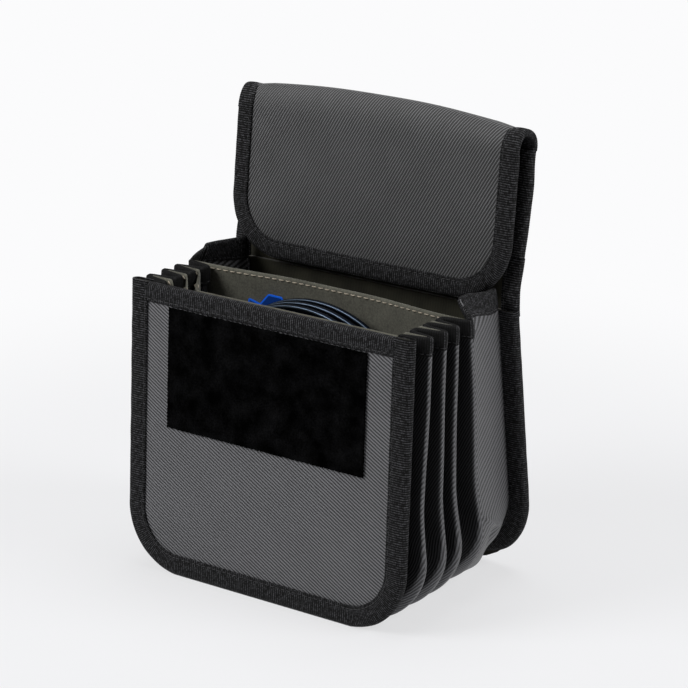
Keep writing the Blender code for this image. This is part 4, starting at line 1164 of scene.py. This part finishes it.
hook_patch = pile_patch("hook_rows", hang_rear, HOOK_HALF, HOOK_FOOT, HOOK_FOOT + HOOK_HEIGHT,
                        0.3 * MM, hooks, 12)
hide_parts("hook_patch")
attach(hook_patch, "flap_front")

# Round filters
# Three filters in dark anodised frames stand in the fourth pocket, seen over the front
# panel as dark arcs with a thin lit rim each. The coated glass sits a little below the rim.
FILTER_RADIUS = 52.0 * MM
FILTER_WIDTH = 4.6 * MM
FILTER_SPACING = 0.4 * MM
FILTER_BORE = 48.2 * MM
FILTER_LEAN = radians(2.0)
FILTER_MIDDLE = (-3.3 * MM, 62.4 * MM)
FILTER_REAR = 50.44 * MM - FILTER_MIDDLE[1] * sin(FILTER_LEAN) / cos(FILTER_LEAN)
GRIP_PITCH = radians(1.5)
GRIP_DEPTH = 0.16 * MM


def aluminium(name, colour, scale, detail, smoothest, dullest):
    """Anodised aluminium: one colour, its roughness varied by the fine grain of the turning."""
    finish, tree, shader = new_finish(name, {"Base Color": linear(colour), "Metallic": 1.0})
    place = add_node(tree, "ShaderNodeTexCoord").outputs["Object"]
    grain = add_node(tree, "ShaderNodeTexNoise", {"Scale": scale, "Detail": detail}, {"Vector": place})
    dull = add_node(tree, "ShaderNodeMapRange", {"To Min": smoothest, "To Max": dullest},
                    {"Value": grain.outputs["Fac"]})
    tree.links.new(dull.outputs[0], shader.inputs["Roughness"])
    return finish


anodised = aluminium("dark_anodised_aluminium", "#161d29", 1800.0, 3.0, 0.34, 0.48)
rim_finish = aluminium("lit_aluminium_rim", "#5b6878", 1200.0, 2.0, 0.30, 0.42)
glass = new_finish("coated_filter_glass", {"Base Color": linear("#0a0c12"), "Roughness": 0.06, "IOR": 1.5,
                                           "Coat Weight": 0.6, "Coat Tint": linear("#4a5f96")})[0]


def turned_ring(name, profile, rear, finish, body, steps=240, grip=None):
    """A ring turned from a closed profile of radius and place in front of its rear face.

    grip gives each profile point its share of the fine ridges round the outside.
    """
    angle = np.linspace(0, 2 * pi, steps, endpoint=False)
    profile = np.asarray(profile)
    radius = np.broadcast_to(profile[:, 0], (steps, len(profile)))
    if grip is not None:
        ridge = (0.5 - 0.5 * np.cos(2 * pi * angle / GRIP_PITCH))[:, None] * GRIP_DEPTH
        radius = radius - ridge * np.asarray(grip)
    across = FILTER_MIDDLE[0] + radius * np.sin(angle)[:, None]
    up = radius * np.cos(angle)[:, None]
    place = leaning(rear, FILTER_MIDDLE[1], FILTER_LEAN)
    spots = place(across, -profile[None, :, 1], up)
    index = np.arange(steps * len(profile)).reshape(steps, -1)
    index = np.concatenate([index, index[:1]])
    index = np.concatenate([index, index[:, :1]], 1)
    piece = add_piece(name, spots.reshape(-1, 3), quads(index), finish)
    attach(piece, body)
    return piece


def soft_corners(corners, radius, steps=3):
    """A closed outline with each corner cut by a small arc."""
    corners = np.asarray(corners, float)
    out = []
    for place, corner in enumerate(corners):
        before = corners[place - 1] - corner
        after = corners[(place + 1) % len(corners)] - corner
        reach = min(radius, 0.45 * np.linalg.norm(before), 0.45 * np.linalg.norm(after))
        start = corner + before / np.linalg.norm(before) * reach
        end = corner + after / np.linalg.norm(after) * reach
        for step in np.linspace(0, 1, steps + 1):
            out.append(start * (1 - step) ** 2 + corner * 2 * step * (1 - step) + end * step ** 2)
    return np.array(out)


for count in range(3):
    rear = FILTER_REAR - count * (FILTER_WIDTH + FILTER_SPACING)
    width, rim_outer, rim_inner = FILTER_WIDTH, FILTER_RADIUS - 0.05 * MM, FILTER_RADIUS - 0.95 * MM
    ring = soft_corners([(FILTER_BORE, 0), (FILTER_RADIUS - 2.2 * MM, 0),
                         (FILTER_RADIUS - 2.2 * MM, width - 2.5 * MM),
                         (FILTER_RADIUS, width - 2.2 * MM), (FILTER_RADIUS, width - 0.5 * MM),
                         (FILTER_RADIUS - 0.9 * MM, width - 0.5 * MM), (FILTER_BORE, width - 0.9 * MM)],
                        0.18 * MM)
    grip = ((ring[:, 0] > FILTER_RADIUS - 0.3 * MM) & (ring[:, 1] > 0.6 * MM)
            & (ring[:, 1] < width - 0.9 * MM)).astype(float)
    body = turned_ring(f"filter_{count + 1}_frame", ring, rear, anodised, "fourth_leaf",
                       steps=960, grip=grip)
    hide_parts(f"filter_{count + 1}_ring")
    rim = soft_corners([(rim_inner, width - 0.6 * MM), (rim_outer, width - 0.6 * MM),
                        (rim_outer, width), (rim_inner, width)], 0.25 * MM)
    rim = turned_ring(f"filter_{count + 1}_rim", rim, rear, rim_finish, "fourth_leaf")
    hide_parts(f"filter_{count + 1}_ring")
    lay_on(f"filter_{count + 1}_glass", glass)

# Blue tab
# A strip of blue film behind the filters, its upper corner folded over. Its face is the
# film's blue made dark navy with painted shade, and its cut edge a lighter blue with a
# painted glow, a weak emission where the edge catches the light.
TAB_OUTLINE = np.array([(-23.6, 84), (-23.6, 109.8), (-24.4, 110.8), (-30.6, 110.9), (-31.4, 110.6),
                        (-35.2, 106.4), (-36.0, 106.1), (-40.8, 107.4), (-41.5, 106.9), (-41.5, 96),
                        (-35.0, 84)]) * MM
TAB_DEPTH = 47.2 * MM
TAB_EDGE = 0.65 * MM
TAB_FILM = 0.5 * MM

# The face's navy is the film's blue with painted shade.
navy_film = new_finish("navy_film", {"Base Color": linear("#0a347c"), "Roughness": 0.3})[0]
# Painted glow: a lighter blue and a weak emission on the cut edge.
painted_glow_edge = new_finish("film_edge_painted_glow",
                         {"Base Color": linear("#0f5cd0"), "Roughness": 0.35,
                          "Emission Color": linear("#0a55d8"), "Emission Strength": 0.12})[0]
tangent = unit(np.roll(TAB_OUTLINE, -1, 0) - np.roll(TAB_OUTLINE, 1, 0))
inner = TAB_OUTLINE + TAB_EDGE * np.stack([-tangent[:, 1], tangent[:, 0]], -1)
tab_place = leaning(TAB_DEPTH, TAB_OUTLINE[3, 1], FILTER_LEAN)
loops = []
for outline, level in ((inner, 0.0), (TAB_OUTLINE, 0.1), (TAB_OUTLINE, 0.9), (inner, 1.0)):
    behind = (level - 0.5) * TAB_FILM
    loops.append(tab_place(outline[:, 0], behind, outline[:, 1] - TAB_OUTLINE[3, 1]))
count = len(TAB_OUTLINE)
index = np.arange(4 * count).reshape(4, count)
index = np.concatenate([index, index[:, :1]], 1)
faces = quads(index) + [index[0, -2::-1].tolist(), index[3, :-1].tolist()]
film_tab = add_piece("blue_film_tab", np.concatenate(loops), faces, painted_glow_edge, smooth=False)
film_tab.data.materials.append(navy_film)
for face in list(film_tab.data.polygons)[-2:]:
    face.material_index = 1
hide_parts("pull_tab")
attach(film_tab, "fourth_leaf")
